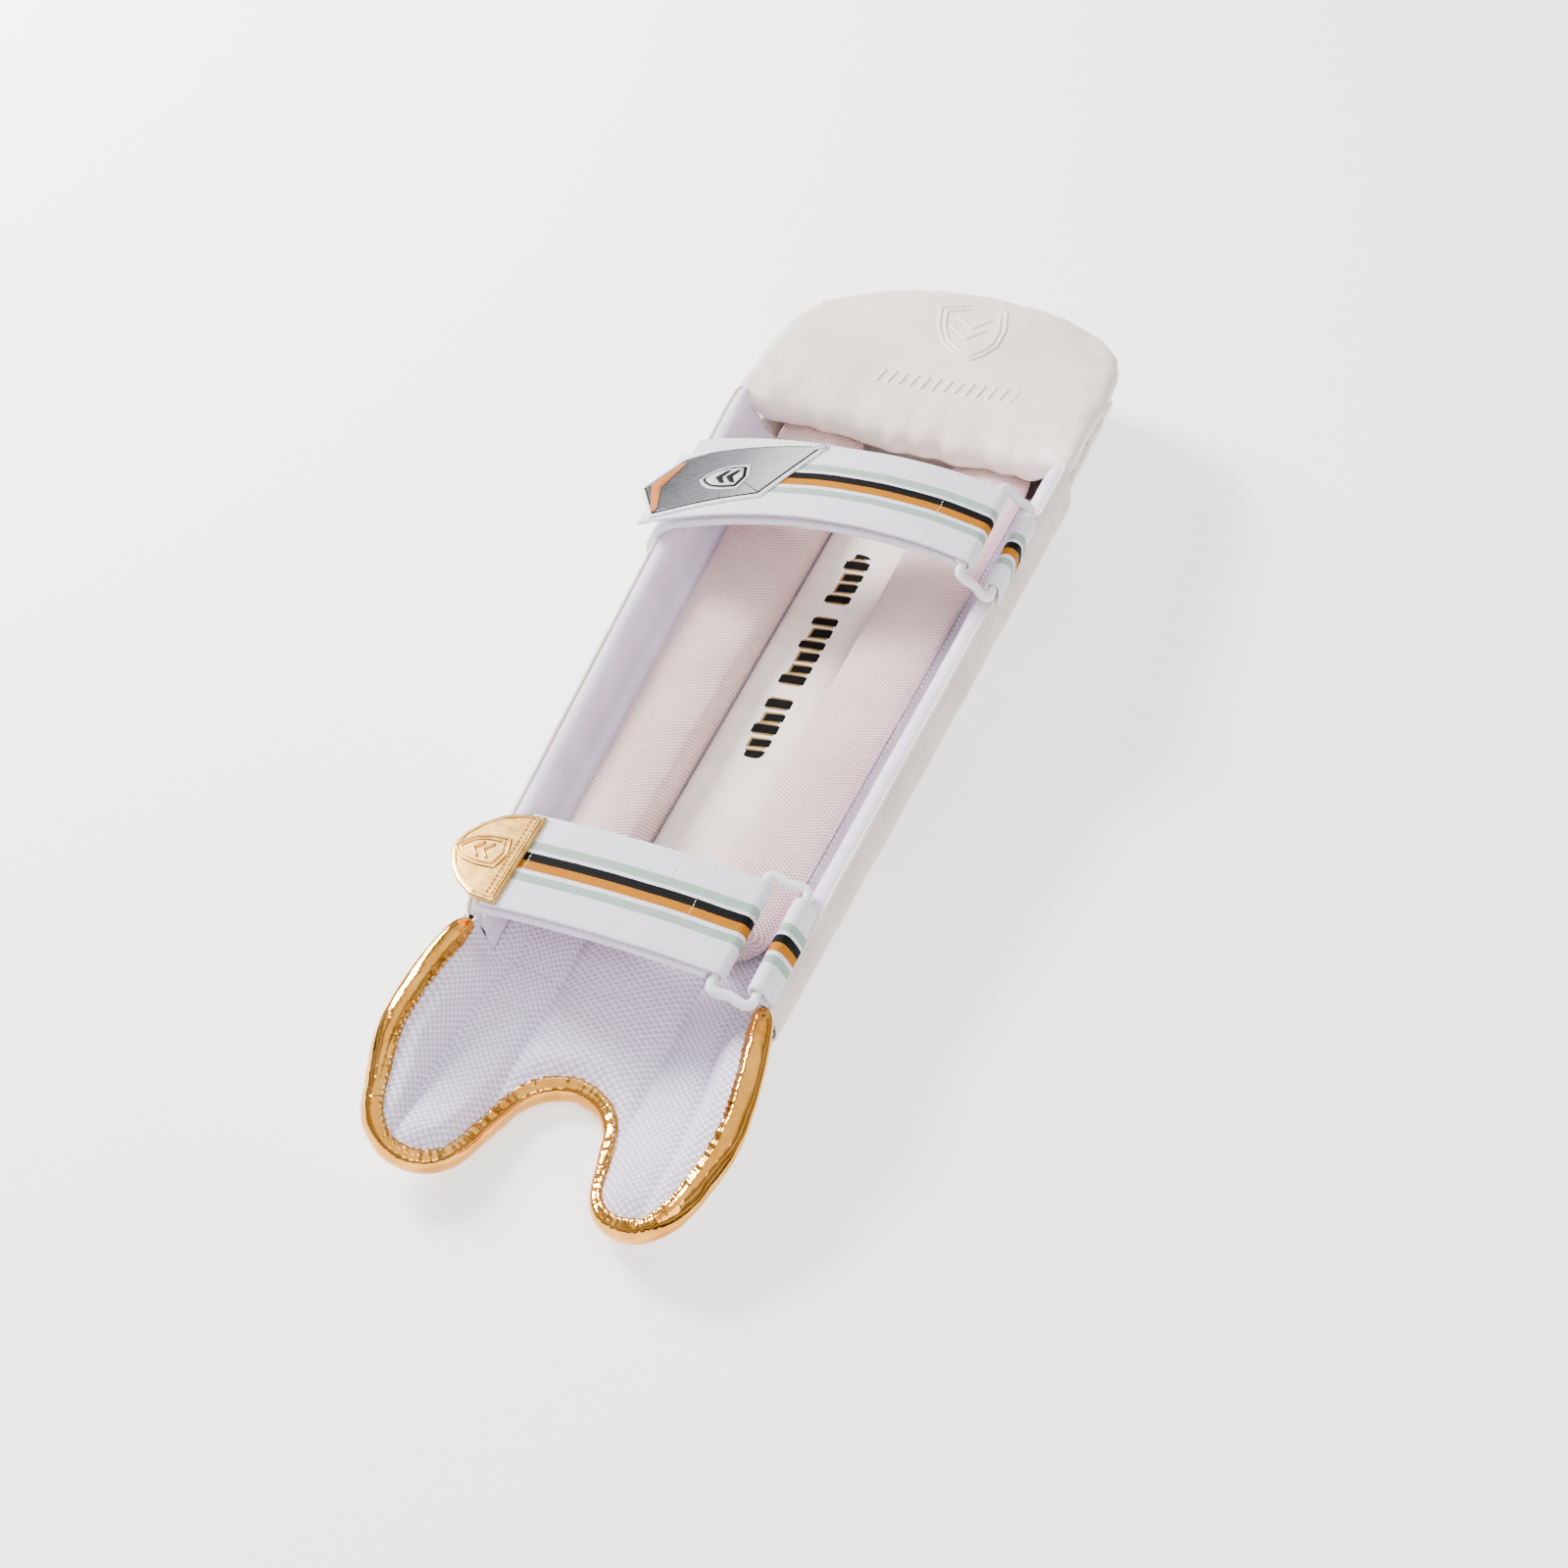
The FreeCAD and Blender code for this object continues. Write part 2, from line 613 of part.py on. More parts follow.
class Strap:
    """A hook-and-loop strap: it arches over the trough from a ring held at the right wing."""

    def __init__(self, name):
        self.name = name
        self.bend = size(name + "_bend")
        self.tilt = size(name + "_tilt")
        self.place = size(name + "_y")
        self.ring_tilt = size(name + "_ring_tilt")
        self.bar = (size(name + "_bar_x"), size(name + "_bar_z"))
        self.keeper = self.beyond_bar(size("bar_pitch"), self.ring_tilt)
        self.centre = (self.bar[0] - self.bend * sin(self.tilt),
                       self.bar[1] - self.bend * cos(self.tilt))

    def point(self, rise, run):
        """A point that lies a rise above the bar's centre line, a run from the bar to the left."""
        angle = self.tilt - run / self.bend * (180 / math.pi)
        radius = self.bend + rise
        return self.centre[0] + radius * sin(angle), self.centre[1] + radius * cos(angle)

    def ply(self, label, low, high, start, end, width):
        outline = Outline().add(*self.point(low, end), (self.bend + low, -1))
        outline.add(*self.point(low, start)).add(*self.point(high, start), (self.bend + high, 1))
        outline.add(*self.point(high, end))
        return pad(label, "XZ_Plane", [outline], width, -self.place)

    def beyond_bar(self, reach, tilt):
        """A point to the right of the strap's bar, down a slope."""
        return self.bar[0] + reach * cos(tilt), self.bar[1] - reach * sin(tilt)

    def flap(self, label, end):
        """The ply that turns round the ring's bar and lies back to the left."""
        inner = size("wrap_radius")
        outer = inner + size("strap")
        none = as_size(0)
        outline = Outline().add(*self.point(inner, end), (self.bend + inner, -1))
        outline.add(*self.point(inner, none), (inner, -1))
        outline.add(*self.beyond_bar(inner, self.tilt), (inner, -1))
        outline.add(*self.point(-inner, none)).add(*self.point(-outer, none), (outer, 1))
        outline.add(*self.beyond_bar(outer, self.tilt), (outer, 1))
        outline.add(*self.point(outer, none), (self.bend + outer, 1))
        outline.add(*self.point(outer, end))
        return pad(label, "XZ_Plane", [outline], size("strap_width"), -self.place)

    def ring(self, label):
        """A moulded loop with two bars, one for the strap and one for the keeper."""
        half = (size("bar_pitch") + size("ring_bar")) / 2
        window = (size("bar_pitch") - size("ring_bar")) / 2
        reach = size("ring_window") / 2
        full = reach + size("ring_end")
        body = pad(label, "XY_Plane", [rectangle(-half, half, -full, full),
                                       rectangle(-window, window, -reach, reach)], size("ring_bar"))
        doc.recompute()
        frame = body.Tip
        edges = [f"Edge{number}" for number in range(1, len(frame.Shape.Edges) + 1)]
        rounded = body.newObject("PartDesign::Fillet", label + "_fillet")
        rounded.Base = (frame, edges)
        rounded.setExpression("Radius", size("bar_round").text)
        middle = self.beyond_bar(size("bar_pitch") / 2, self.ring_tilt)
        body.Placement.Rotation = FreeCAD.Rotation(FreeCAD.Vector(0, 1, 0), self.ring_tilt.number)
        body.setExpression("Placement.Rotation.Angle", self.ring_tilt.text)
        body.setExpression("Placement.Base.x", middle[0].text)
        body.setExpression("Placement.Base.y", self.place.text)
        body.setExpression("Placement.Base.z", middle[1].text)
        return body

    def make_keeper(self, label):
        """A short webbing loop round the ring's other bar, with a tail down to the wing's edge."""
        inner = size("wrap_radius")
        outer = inner + size("strap")
        lean = size(self.name + "_tail_angle")
        ahead = (cos(lean), -sin(lean))
        side = (sin(lean), cos(lean))

        def spot(forward, up):
            return (self.keeper[0] + ahead[0] * forward + side[0] * up,
                    self.keeper[1] + ahead[1] * forward + side[1] * up)

        none = as_size(0)
        ply = size("strap")
        tail = size(self.name + "_tail")
        outline = Outline().add(*spot(tail, -ply)).add(*spot(tail, ply))
        outline.add(*spot(none, outer), (outer, 1)).add(*spot(-outer, none), (outer, 1))
        outline.add(*spot(none, -outer))
        hole = Outline()
        for forward, up in ((inner, none), (none, inner), (-inner, none), (none, -inner)):
            hole.add(*spot(forward, up), (inner, 1))
        return pad(label, "XZ_Plane", [outline, hole], size("keeper_width"), -self.place)


def make_strap(name):
    strap = Strap(name)
    inner = size("wrap_radius")
    ply = size("strap")
    width = size("strap_width")
    patch_width = width - size("patch_inset")
    base_end = size(name + "_base")
    flap_end = size(name + "_flap")
    return strap, [
        strap.ply(name + "_strap_base", -inner - ply, -inner, size("seam_gap"), base_end, width),
        strap.ply(name + "_strap_pile", -inner, size("pile") - inner, size("bar_pitch"),
                  base_end - size("patch_inset"), patch_width),
        strap.ply(name + "_strap_hook", inner - size("hook"), inner, flap_end / 2,
                  flap_end - size("patch_inset"), patch_width),
        strap.flap(name + "_strap_flap", flap_end),
        strap.ring(name + "_ring"),
        strap.make_keeper(name + "_keeper"),
    ]


def make_straps():
    top = size("wrap_radius") + size("strap") + size("ply_play")
    upper, upper_pieces = make_strap("upper")
    label = upper.ply("upper_strap_label", top, top + size("label"), size("label_from"),
                      size("label_to"), size("label_width"))
    lower, lower_pieces = make_strap("lower")
    tab = lower.ply("lower_strap_tab", top, top + size("tab"), size("tab_from"), size("tab_to"),
                    size("tab_width"))
    return upper_pieces + [label] + lower_pieces + [tab]


# ------------------------------------------------------------------------------------------- output

def write(nodes):
    """Checks the whole document and writes each sub-part to its own file."""
    doc.recompute()
    for item in doc.Objects:
        if "Invalid" in item.State or "Error" in item.State:
            raise RuntimeError(f"{item.Label} did not recompute: {item.State}")
    for node in nodes:
        if node.Shape.isNull() or not node.Shape.isValid():
            raise RuntimeError(f"{node.Label} has no valid shape")
    os.makedirs("parts", exist_ok=True)
    for node in nodes:
        node.Shape.exportStep(f"parts/{node.Label}.step")
        print(f"{node.Label}: {node.Shape.Volume / 1000:.1f} cm3, {len(node.Shape.Solids)} solid(s)")


write(make_shin() + make_bolsters() + make_centre_pad() + make_wings() + make_instep() + make_knee()
      + make_straps())
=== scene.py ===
"""Looks of a wicket-keeping leg pad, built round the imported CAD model. Lengths here are in mm."""
import json
import math

import bmesh
import bpy
import numpy as np
from mathutils import Matrix, Vector, noise


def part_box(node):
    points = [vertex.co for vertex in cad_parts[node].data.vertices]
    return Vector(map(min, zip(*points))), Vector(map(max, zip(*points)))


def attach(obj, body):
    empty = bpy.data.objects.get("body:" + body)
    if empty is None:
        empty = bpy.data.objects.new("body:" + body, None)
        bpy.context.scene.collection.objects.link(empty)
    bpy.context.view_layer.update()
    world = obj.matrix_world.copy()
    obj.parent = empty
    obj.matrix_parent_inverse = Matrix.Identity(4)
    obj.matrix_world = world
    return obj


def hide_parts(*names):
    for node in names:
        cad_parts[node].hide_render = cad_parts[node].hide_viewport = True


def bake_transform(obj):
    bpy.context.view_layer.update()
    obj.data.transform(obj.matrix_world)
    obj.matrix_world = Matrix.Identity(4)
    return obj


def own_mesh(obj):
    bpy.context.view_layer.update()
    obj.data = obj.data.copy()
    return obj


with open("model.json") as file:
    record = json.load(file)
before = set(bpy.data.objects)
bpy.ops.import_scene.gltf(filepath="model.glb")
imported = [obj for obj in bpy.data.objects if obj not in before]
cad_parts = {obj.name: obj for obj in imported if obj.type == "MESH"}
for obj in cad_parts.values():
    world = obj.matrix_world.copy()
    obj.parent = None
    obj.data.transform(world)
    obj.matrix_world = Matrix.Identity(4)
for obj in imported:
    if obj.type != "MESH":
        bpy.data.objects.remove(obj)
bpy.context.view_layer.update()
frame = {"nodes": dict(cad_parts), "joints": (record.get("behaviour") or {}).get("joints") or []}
MM = 0.001
JOINTS = {joint["name"]: joint for joint in frame["joints"]}


def box(node):
    low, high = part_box(node)
    return np.array(low) / MM, np.array(high) / MM


# ------------------------------------------------------------------------- the trough's surface

TOE_Y = box("instep_binding")[0][1]
ANKLE_Y = box("shin_cover")[0][1]
KNEE_Y = box("shin_cover")[1][1]
CROWN_Y = box("top_panel")[1][1]
STATIONS = [TOE_Y, ANKLE_Y, KNEE_Y, CROWN_Y]
FLAT = 32.0
BENDS = [84.0, 48.0, 66.0, 70.0]
SWEEPS = [50.0, 92.0, 95.0, 84.0]
WING_BENDS = [49.0, 70.0]
FOLD = 60.0
SHIN_DEPTH = 17.5
WING_DEPTH = 11.5
KNEE_DEPTH = 13.0


def bend_at(y):
    return np.interp(y, STATIONS, BENDS)


def sweep_at(y):
    return np.interp(y, STATIONS, SWEEPS)


def at_angle(side, angle, y, depth):
    """A point of the trough on one side, at an angle of the bend and a depth below the skin."""
    side, angle, y, depth = np.broadcast_arrays(side, np.asarray(angle, float), y, depth)
    bend = bend_at(y)
    inside = (y >= ANKLE_Y) & (y <= KNEE_Y)
    wing = np.where(inside, np.interp(y, [ANKLE_Y, KNEE_Y], WING_BENDS), bend)
    turn = np.radians(angle)
    fold = math.radians(FOLD)
    past = angle > FOLD
    radius = np.where(past, wing, bend) - depth
    shift = np.where(past, bend - wing, 0)
    x = FLAT + shift * math.sin(fold) + radius * np.sin(turn)
    z = bend - shift * math.cos(fold) - radius * np.cos(turn)
    return np.stack([side * x, y, z], -1)


def surface(q, y, depth):
    """A point of the trough: q from -1 to 1 is the flat, and beyond it hundreds of degrees."""
    q, y, depth = np.broadcast_arrays(np.asarray(q, float), np.asarray(y, float), depth)
    bent = at_angle(np.sign(q), np.maximum(np.abs(q) - 1, 0) * 100, y, depth)
    flat = np.stack([q * FLAT, y, depth + 0 * q], -1)
    return np.where((np.abs(q) <= 1)[..., None], flat, bent)


def around(q, y):
    """The distance along the skin from the middle line."""
    q, y = np.broadcast_arrays(np.asarray(q, float), np.asarray(y, float))
    turn = np.radians(np.maximum(np.abs(q) - 1, 0) * 100)
    return np.sign(q) * (np.minimum(np.abs(q), 1) * FLAT + bend_at(y) * turn)


def q_of_x(x, y, depth=0.0):
    """The q of a point of the skin at a sideways place."""
    x, y = np.broadcast_arrays(np.asarray(x, float), np.asarray(y, float))
    over = np.clip((np.abs(x) - FLAT) / (bend_at(y) - depth), 0, 1)
    turn = np.degrees(np.arcsin(over)) / 100
    return np.sign(x) * np.where(np.abs(x) <= FLAT, np.abs(x) / FLAT, 1 + turn)


def q_from(u, y):
    """The q of a distance along the skin."""
    u, y = np.broadcast_arrays(np.asarray(u, float), np.asarray(y, float))
    over = np.maximum(np.abs(u) - FLAT, 0) / bend_at(y)
    return np.where(np.abs(u) <= FLAT, u / FLAT, np.sign(u) * (1 + np.degrees(over) / 100))


def unrolled(u, y, depth):
    """A point of the trough at a distance along the skin from the middle line."""
    return surface(q_from(u, y), y, depth)


def smooth(value, low, high):
    """From 0 to 1 as a value goes from low to high."""
    share = np.clip((value - low) / (high - low), 0, 1)
    return share * share * (3 - 2 * share)


def soft_noise(points, size, seed=0.0):
    """Smooth noise from about -1 to 1 at each point, with features of a size."""
    shift = Vector((seed, seed * 1.7, seed * 0.3))
    flat = np.asarray(points, float).reshape(-1, 3) / size
    values = [noise.noise(Vector(p) + shift) for p in flat]
    return np.array(values).reshape(np.shape(points)[:-1])


# --------------------------------------------------------------------------- paths and meshes

def distances(path):
    """How far along a path each of its points is."""
    return np.concatenate([[0], np.cumsum(np.linalg.norm(np.diff(path, axis=0), axis=1))])


def unit(vectors):
    """Vectors made one long."""
    return vectors / np.linalg.norm(vectors, axis=1)[:, None]


def closed_up(loop):
    """A loop with its first point again at its end."""
    return np.concatenate([loop, loop[:1]])


def resample(path, step):
    """The same path with evenly spaced points."""
    path = np.asarray(path, float)
    place = distances(path)
    count = max(2, int(round(place[-1] / step)) + 1)
    wanted = np.linspace(0, place[-1], count)
    return np.stack([np.interp(wanted, place, path[:, k]) for k in range(path.shape[1])], -1)


def link(name, data):
    thing = bpy.data.objects.new(name, data)
    bpy.context.scene.collection.objects.link(thing)
    return thing


def make(name, points, faces, material, cloth=None):
    mesh = bpy.data.meshes.new(name)
    mesh.from_pydata((np.asarray(points).reshape(-1, 3) * MM).tolist(), [], faces)
    if cloth is not None:
        data = np.zeros((len(mesh.vertices), 3), np.float32)
        data[:, :2] = np.asarray(cloth).reshape(-1, 2)
        layer = mesh.attributes.new("cloth", "FLOAT_VECTOR", "POINT")
        layer.data.foreach_set("vector", data.ravel())
    work = bmesh.new()
    work.from_mesh(mesh)
    bmesh.ops.dissolve_degenerate(work, dist=1e-7, edges=work.edges)
    bmesh.ops.recalc_face_normals(work, faces=work.faces)
    work.to_mesh(mesh)
    work.free()
    mesh.polygons.foreach_set("use_smooth", [True] * len(mesh.polygons))
    mesh.materials.append(material)
    return link(name, mesh)


def grid_faces(rows, columns, start=0, flip=False, closed=False):
    faces = []
    for i in range(rows - 1):
        for j in range(columns if closed else columns - 1):
            k = (j + 1) % columns
            face = [start + i * columns + j, start + i * columns + k,
                    start + (i + 1) * columns + k, start + (i + 1) * columns + j]
            faces.append(face[::-1] if flip else face)
    return faces


def end_faces(rows, columns):
    return [list(range(columns))[::-1], [(rows - 1) * columns + j for j in range(columns)]]


def shell(name, top, bottom, cloth, material):
    """A closed skin between two grids of points."""
    rows, columns = top.shape[:2]
    count = rows * columns
    faces = grid_faces(rows, columns) + grid_faces(rows, columns, count, True)
    rim = [(0, j) for j in range(columns)] + [(i, columns - 1) for i in range(1, rows)]
    rim += [(rows - 1, j) for j in range(columns - 2, -1, -1)]
    rim += [(i, 0) for i in range(rows - 2, 0, -1)]
    edge = [i * columns + j for i, j in rim]
    for a, b in zip(edge, edge[1:] + edge[:1]):
        faces.append([a, a + count, b + count, b])
    points = np.concatenate([top.reshape(-1, 3), bottom.reshape(-1, 3)])
    both = np.concatenate([cloth.reshape(-1, 2)] * 2)
    return make(name, points, faces, material, both)


def tube(name, rings, material, closed=False):
    """A skin through rings of points, with its ends closed unless it is a closed loop."""
    rings = np.asarray(rings, float)
    rows, columns = rings.shape[:2]
    faces = grid_faces(rows, columns, closed=True)
    if closed:
        for j in range(columns):
            k = (j + 1) % columns
            faces.append([(rows - 1) * columns + j, (rows - 1) * columns + k, k, j])
    else:
        faces += end_faces(rows, columns)
    steps = np.linalg.norm(np.roll(rings, -1, 1) - rings, axis=2)
    across = np.cumsum(steps, 1) - steps
    along = distances(rings.mean(1))
    cloth = np.stack([across, np.broadcast_to(along[:, None], across.shape)], -1)
    return make(name, rings, faces, material, cloth)


def frames_along(path, up, closed=False):
    """Unit directions along, across and up at each point of a path."""
    path = np.asarray(path, float)
    if closed:
        along = np.roll(path, -1, 0) - np.roll(path, 1, 0)
    else:
        along = np.gradient(path, axis=0)
    along = unit(along)
    across = unit(np.cross(along, np.broadcast_to(up, path.shape)))
    return along, across, np.cross(across, along)


def piping(name, path, radius, up, material, closed=False, sides=10):
    """A round cord of cloth-covered welt along a path."""
    path = np.asarray(path, float)
    _, across, lift = frames_along(path, up, closed)
    turns = np.linspace(0, 2 * math.pi, sides, endpoint=False)
    ends = np.ones(len(path))
    if not closed:
        ends[0] = ends[-1] = 0.35
    radius = np.broadcast_to(radius, len(path)) * ends
    rings = [p + r * (np.outer(np.cos(turns), a) + np.outer(np.sin(turns), u))
             for p, a, u, r in zip(path, across, lift, radius)]
    return tube(name, rings, material, closed=closed)


def stitches(name, rows, material, pitch=3.2, length=2.3, width=0.55, rise=0.32):
    """Rows of thread: each row is a path and the up direction at its points."""
    points, faces = [], []
    for path, up in rows:
        both = np.concatenate([path, np.broadcast_to(up, np.shape(path))], 1)
        place = distances(both[:, :3])
        wanted = np.arange(pitch / 2, place[-1], pitch)
        both = np.stack([np.interp(wanted, place, both[:, k]) for k in range(6)], -1)
        if len(both) < 2:
            continue
        along, across, lift = frames_along(both[:, :3], both[:, 3:])
        for p, a, c, u in zip(both[:, :3], along, across, lift):
            start = len(points)
            points.append(p - a * length / 2)
            for share, fat in ((-0.3, 0.8), (0.0, 1.0), (0.3, 0.8)):
                for k in range(6):
                    turn = k * math.pi / 3
                    points.append(p + a * length * share + c * width / 2 * fat * math.cos(turn)
                                  + u * rise * fat * math.sin(turn))
            points.append(p + a * length / 2)
            for k in range(6):
                n = (k + 1) % 6
                faces.append([start, start + 1 + n, start + 1 + k])
                for ring in range(2):
                    base = start + 1 + ring * 6
                    faces.append([base + k, base + n, base + 6 + n, base + 6 + k])
                faces.append([start + 13 + k, start + 13 + n, start + 19])
    return make(name, np.array(points), faces, material)


def plates(name, outlines, place, low, high, material, step=2.0, round_edge=0.35):
    """Thin plates with given outlines, laid on a surface. place(points, rise) is that surface."""
    points, faces, cloth = [], [], []
    for outline in outlines:
        outline = np.asarray(outline, float)
        loop = resample(closed_up(outline), step)[:-1]
        middle = loop.mean(0)
        reach = np.linalg.norm(loop - middle, axis=1).mean()
        inner = np.linspace(1 - round_edge / reach, 0, max(3, int(reach / step)) + 1)[:-1]
        shares = [1.0, 1.0, *inner]
        rises = [low, high - round_edge] + [high] * len(inner)
        flats = [middle + (loop - middle) * share for share in shares]
        rings = [place(flat, rise) for flat, rise in zip(flats, rises)]
        start = sum(len(part) for part in points)
        columns = len(loop)
        last = start + (len(rings) - 1) * columns
        faces += grid_faces(len(rings), columns, start, closed=True)
        top, bottom = last + columns, last + columns + 1
        for j in range(columns):
            k = (j + 1) % columns
            faces.append([last + j, last + k, top])
            faces.append([start + k, start + j, bottom])
        points += rings + [place(middle[None], high), place(middle[None], low)]
        cloth += flats + [middle[None], middle[None]]
    return make(name, np.concatenate(points), faces, material, np.concatenate(cloth))


def plate(name, outline, *rest):
    return plates(name, [outline], *rest)


# ----------------------------------------------------------------------------------- materials

def rgb(red, green, blue):
    def linear(v):
        v /= 255
        return v / 12.92 if v <= 0.04045 else ((v + 0.055) / 1.055) ** 2.4
    return linear(red), linear(green), linear(blue), 1.0


class Finish:
    """A material whose nodes are added one at a time."""

    def __init__(self, name, color, roughness, **sockets):
        self.material = bpy.data.materials.new(name)
        self.material.use_nodes = True
        self.tree = self.material.node_tree
        self.shader = self.tree.nodes["Principled BSDF"]
        self.put(self.shader, {"Base Color": color, "Roughness": roughness, **sockets})

    def put(self, node, values):
        for key, value in values.items():
            if isinstance(value, bpy.types.NodeSocket):
                self.tree.links.new(value, node.inputs[key])
            else:
                node.inputs[key].default_value = value

    def add(self, kind, values=None, **settings):
        node = self.tree.nodes.new("ShaderNode" + kind)
        for key, value in settings.items():
            setattr(node, key, value)
        self.put(node, values or {})
        return node

    def place(self):
        return self.add("TexCoord").outputs["Object"]

    def cloth(self):
        return self.add("Attribute", attribute_name="cloth").outputs["Vector"]

    def noise(self, scale, detail=2.0, vector=None):
        values = {"Vector": vector or self.place(), "Scale": scale, "Detail": detail}
        return self.add("TexNoise", values).outputs["Fac"]

    def cells(self, scale, feature="F1"):
        values = {"Vector": self.place(), "Scale": scale}
        return self.add("TexVoronoi", values, feature=feature).outputs["Distance"]

    def math(self, operation, a, b=0.0):
        return self.add("Math", {0: a, 1: b}, operation=operation).outputs[0]

    def ramp(self, value, stops, interpolation="LINEAR"):
        node = self.add("ValToRGB", {"Fac": value})
        node.color_ramp.interpolation = interpolation
        points = node.color_ramp.elements
        while len(points) < len(stops):
            points.new(0.5)
        for point, (place, color) in zip(points, stops):
            point.position = place
            point.color = color if isinstance(color, tuple) else (color, color, color, 1)
        return node.outputs["Color"]

    def cloudy(self, scale, detail, start, end, low=0.0, high=1.0):
        """Noise that goes from one value to another between two of its levels."""
        return self.ramp(self.noise(scale, detail), [(start, low), (end, high)])

    def mix(self, share, a, b, blend="MIX"):
        node = self.add("Mix", data_type="RGBA", blend_type=blend)
        self.put(node, {0: share, 6: a, 7: b})
        return node.outputs[2]

    def bump(self, height, distance, strength=1.0, normal=None):
        values = {"Height": height, "Strength": strength, "Distance": distance * MM}
        if normal is not None:
            values["Normal"] = normal
        return self.add("Bump", values).outputs["Normal"]

    def split(self, vector):
        node = self.add("SeparateXYZ", {"Vector": vector})
        return node.outputs[0], node.outputs[1]

    def wave(self, value, pitch):
        """A cosine of a length in mm."""
        return self.math("COSINE", self.math("MULTIPLY", value, 2 * math.pi / pitch))

    def finish(self, color=None, roughness=None, normal=None):
        values = {"Base Color": color, "Roughness": roughness, "Normal": normal}
        self.put(self.shader, {k: v for k, v in values.items() if v is not None})
        return self.material


def leather(name, light, dark, roughness=0.46, grain=0.10):
    """Polyurethane leather: fine pebbled grain, soft creases, and a little dirt in its tone."""
    f = Finish(name, light, roughness)
    tone = f.mix(f.cloudy(22, 4, 0.35, 0.7), light, dark)
    speck = f.cloudy(900, 2, 0.3, 0.7, 0.94, 1.0)
    tone = f.mix(f.math("MULTIPLY", f.noise(140, 3), 0.25), tone, dark)
    color = f.mix(0.6, tone, speck, "MULTIPLY")
    pebbles = f.cells(950, feature="DISTANCE_TO_EDGE")
    creases = f.cells(120, feature="DISTANCE_TO_EDGE")
    fine = f.bump(f.math("MINIMUM", pebbles, 0.25), grain, 0.55)
    folds = f.bump(f.ramp(creases, [(0.0, 0.0), (0.08, 1.0)]), 0.06, 0.25, fine)
    soft = f.bump(f.noise(60, 3), 0.9, 0.35, folds)
    shine = f.cloudy(45, 3, 0.3, 0.75, roughness - 0.06, roughness + 0.10)
    return f.finish(color, shine, soft)


def net(name, thread, hole, pitch, depth, stretch, hole_size, tint, soft=0.35):
    """Knitted mesh: staggered openings between threads, coloured by what lies below and darkened as
    painted shade.
    """
    f = Finish(name, thread, 0.8, **{"Sheen Weight": 0.25})
    u, v = f.split(f.cloth())
    warp = f.math("MULTIPLY", f.noise(160, 2), pitch * 0.35)
    u = f.math("ADD", u, warp)
    v = f.math("ADD", v, warp)
    holes = f.math("MULTIPLY", f.wave(u, pitch * stretch), f.wave(v, pitch))
    opening = f.ramp(holes, [(hole_size, 0.0), (hole_size + soft, 1.0)])
    # The openings take the hole colour: the layer below, darker with painted shade.
    color = f.mix(opening, f.mix(f.cloudy(26, 3, 0.35, 0.7), thread, tint), hole)
    fine = f.bump(f.wave(f.math("ADD", u, v), pitch * 0.31), 0.10, 0.35)
    relief = f.bump(f.ramp(holes, [(0.0, 1.0), (hole_size + 0.4, 0.0)]), depth, 0.9, fine)
    rough = f.ramp(opening, [(0.0, 0.72), (1.0, 0.92)])
    return f.finish(color, rough, relief)


def woven(name, light, dark, pitch=0.55, rough=0.75, relief=0.12):
    """A plain smooth weave."""
    f = Finish(name, light, rough, **{"Sheen Weight": 0.3})
    u, v = f.split(f.cloth())
    weave = f.math("MULTIPLY", f.wave(u, pitch * 2), f.wave(v, pitch * 2))
    tone = f.mix(f.cloudy(30, 4, 0.3, 0.75), light, dark)
    color = f.mix(f.ramp(weave, [(0.2, 0.0), (1.0, 0.18)]), tone, dark)
    fine = f.bump(weave, relief, 0.5)
    soft = f.bump(f.noise(85, 3), 0.8, 0.4, fine)
    return f.finish(color, f.cloudy(300, 2, 0.3, 0.7, rough - 0.05, rough + 0.08), soft)


def suede(name, light, dark):
    """Brushed cloth with a short nap."""
    f = Finish(name, light, 0.9, **{"Sheen Weight": 0.4, "Sheen Roughness": 0.4})
    nap = f.noise(700, 4)
    tone = f.mix(f.cloudy(28, 4, 0.35, 0.7), light, dark)
    color = f.mix(f.ramp(nap, [(0.35, 0.0), (0.8, 0.3)]), tone, dark)
    fine = f.bump(nap, 0.15, 0.5)
    rough = f.cloudy(90, 3, 0.3, 0.7, 0.82, 0.98)
    return f.finish(color, rough, f.bump(f.noise(40, 3), 1.0, 0.3, fine))


def webbing(name, width, stripes):
    """Strap webbing with colour stripes across its width and a basket weave."""
    f = Finish(name, rgb(243, 239, 250), 0.72, **{"Specular IOR Level": 0.12})
    u, v = f.split(f.cloth())
    share = f.math("DIVIDE", v, width)
    jag = f.math("MULTIPLY", f.math("SUBTRACT", f.noise(900, 1), 0.5), 0.008)
    bands = f.ramp(f.math("ADD", share, jag), stripes, "CONSTANT")
    rib, pick = [f.wave(f.math(way, u, v), 2.1) for way in ("ADD", "SUBTRACT")]
    weave = f.math("MULTIPLY", rib, pick)
    shade = f.ramp(weave, [(0.0, 1.0), (0.8, 0.62)])
    worn = f.cloudy(60, 4, 0.3, 0.7, 0.93, 1.0)
    color = f.mix(0.8, f.mix(0.75, bands, shade, "MULTIPLY"), worn, "MULTIPLY")
    fine = f.bump(weave, 0.28, 0.6)
    return f.finish(color, f.ramp(weave, [(0.0, 0.62), (1.0, 0.82)]), fine)


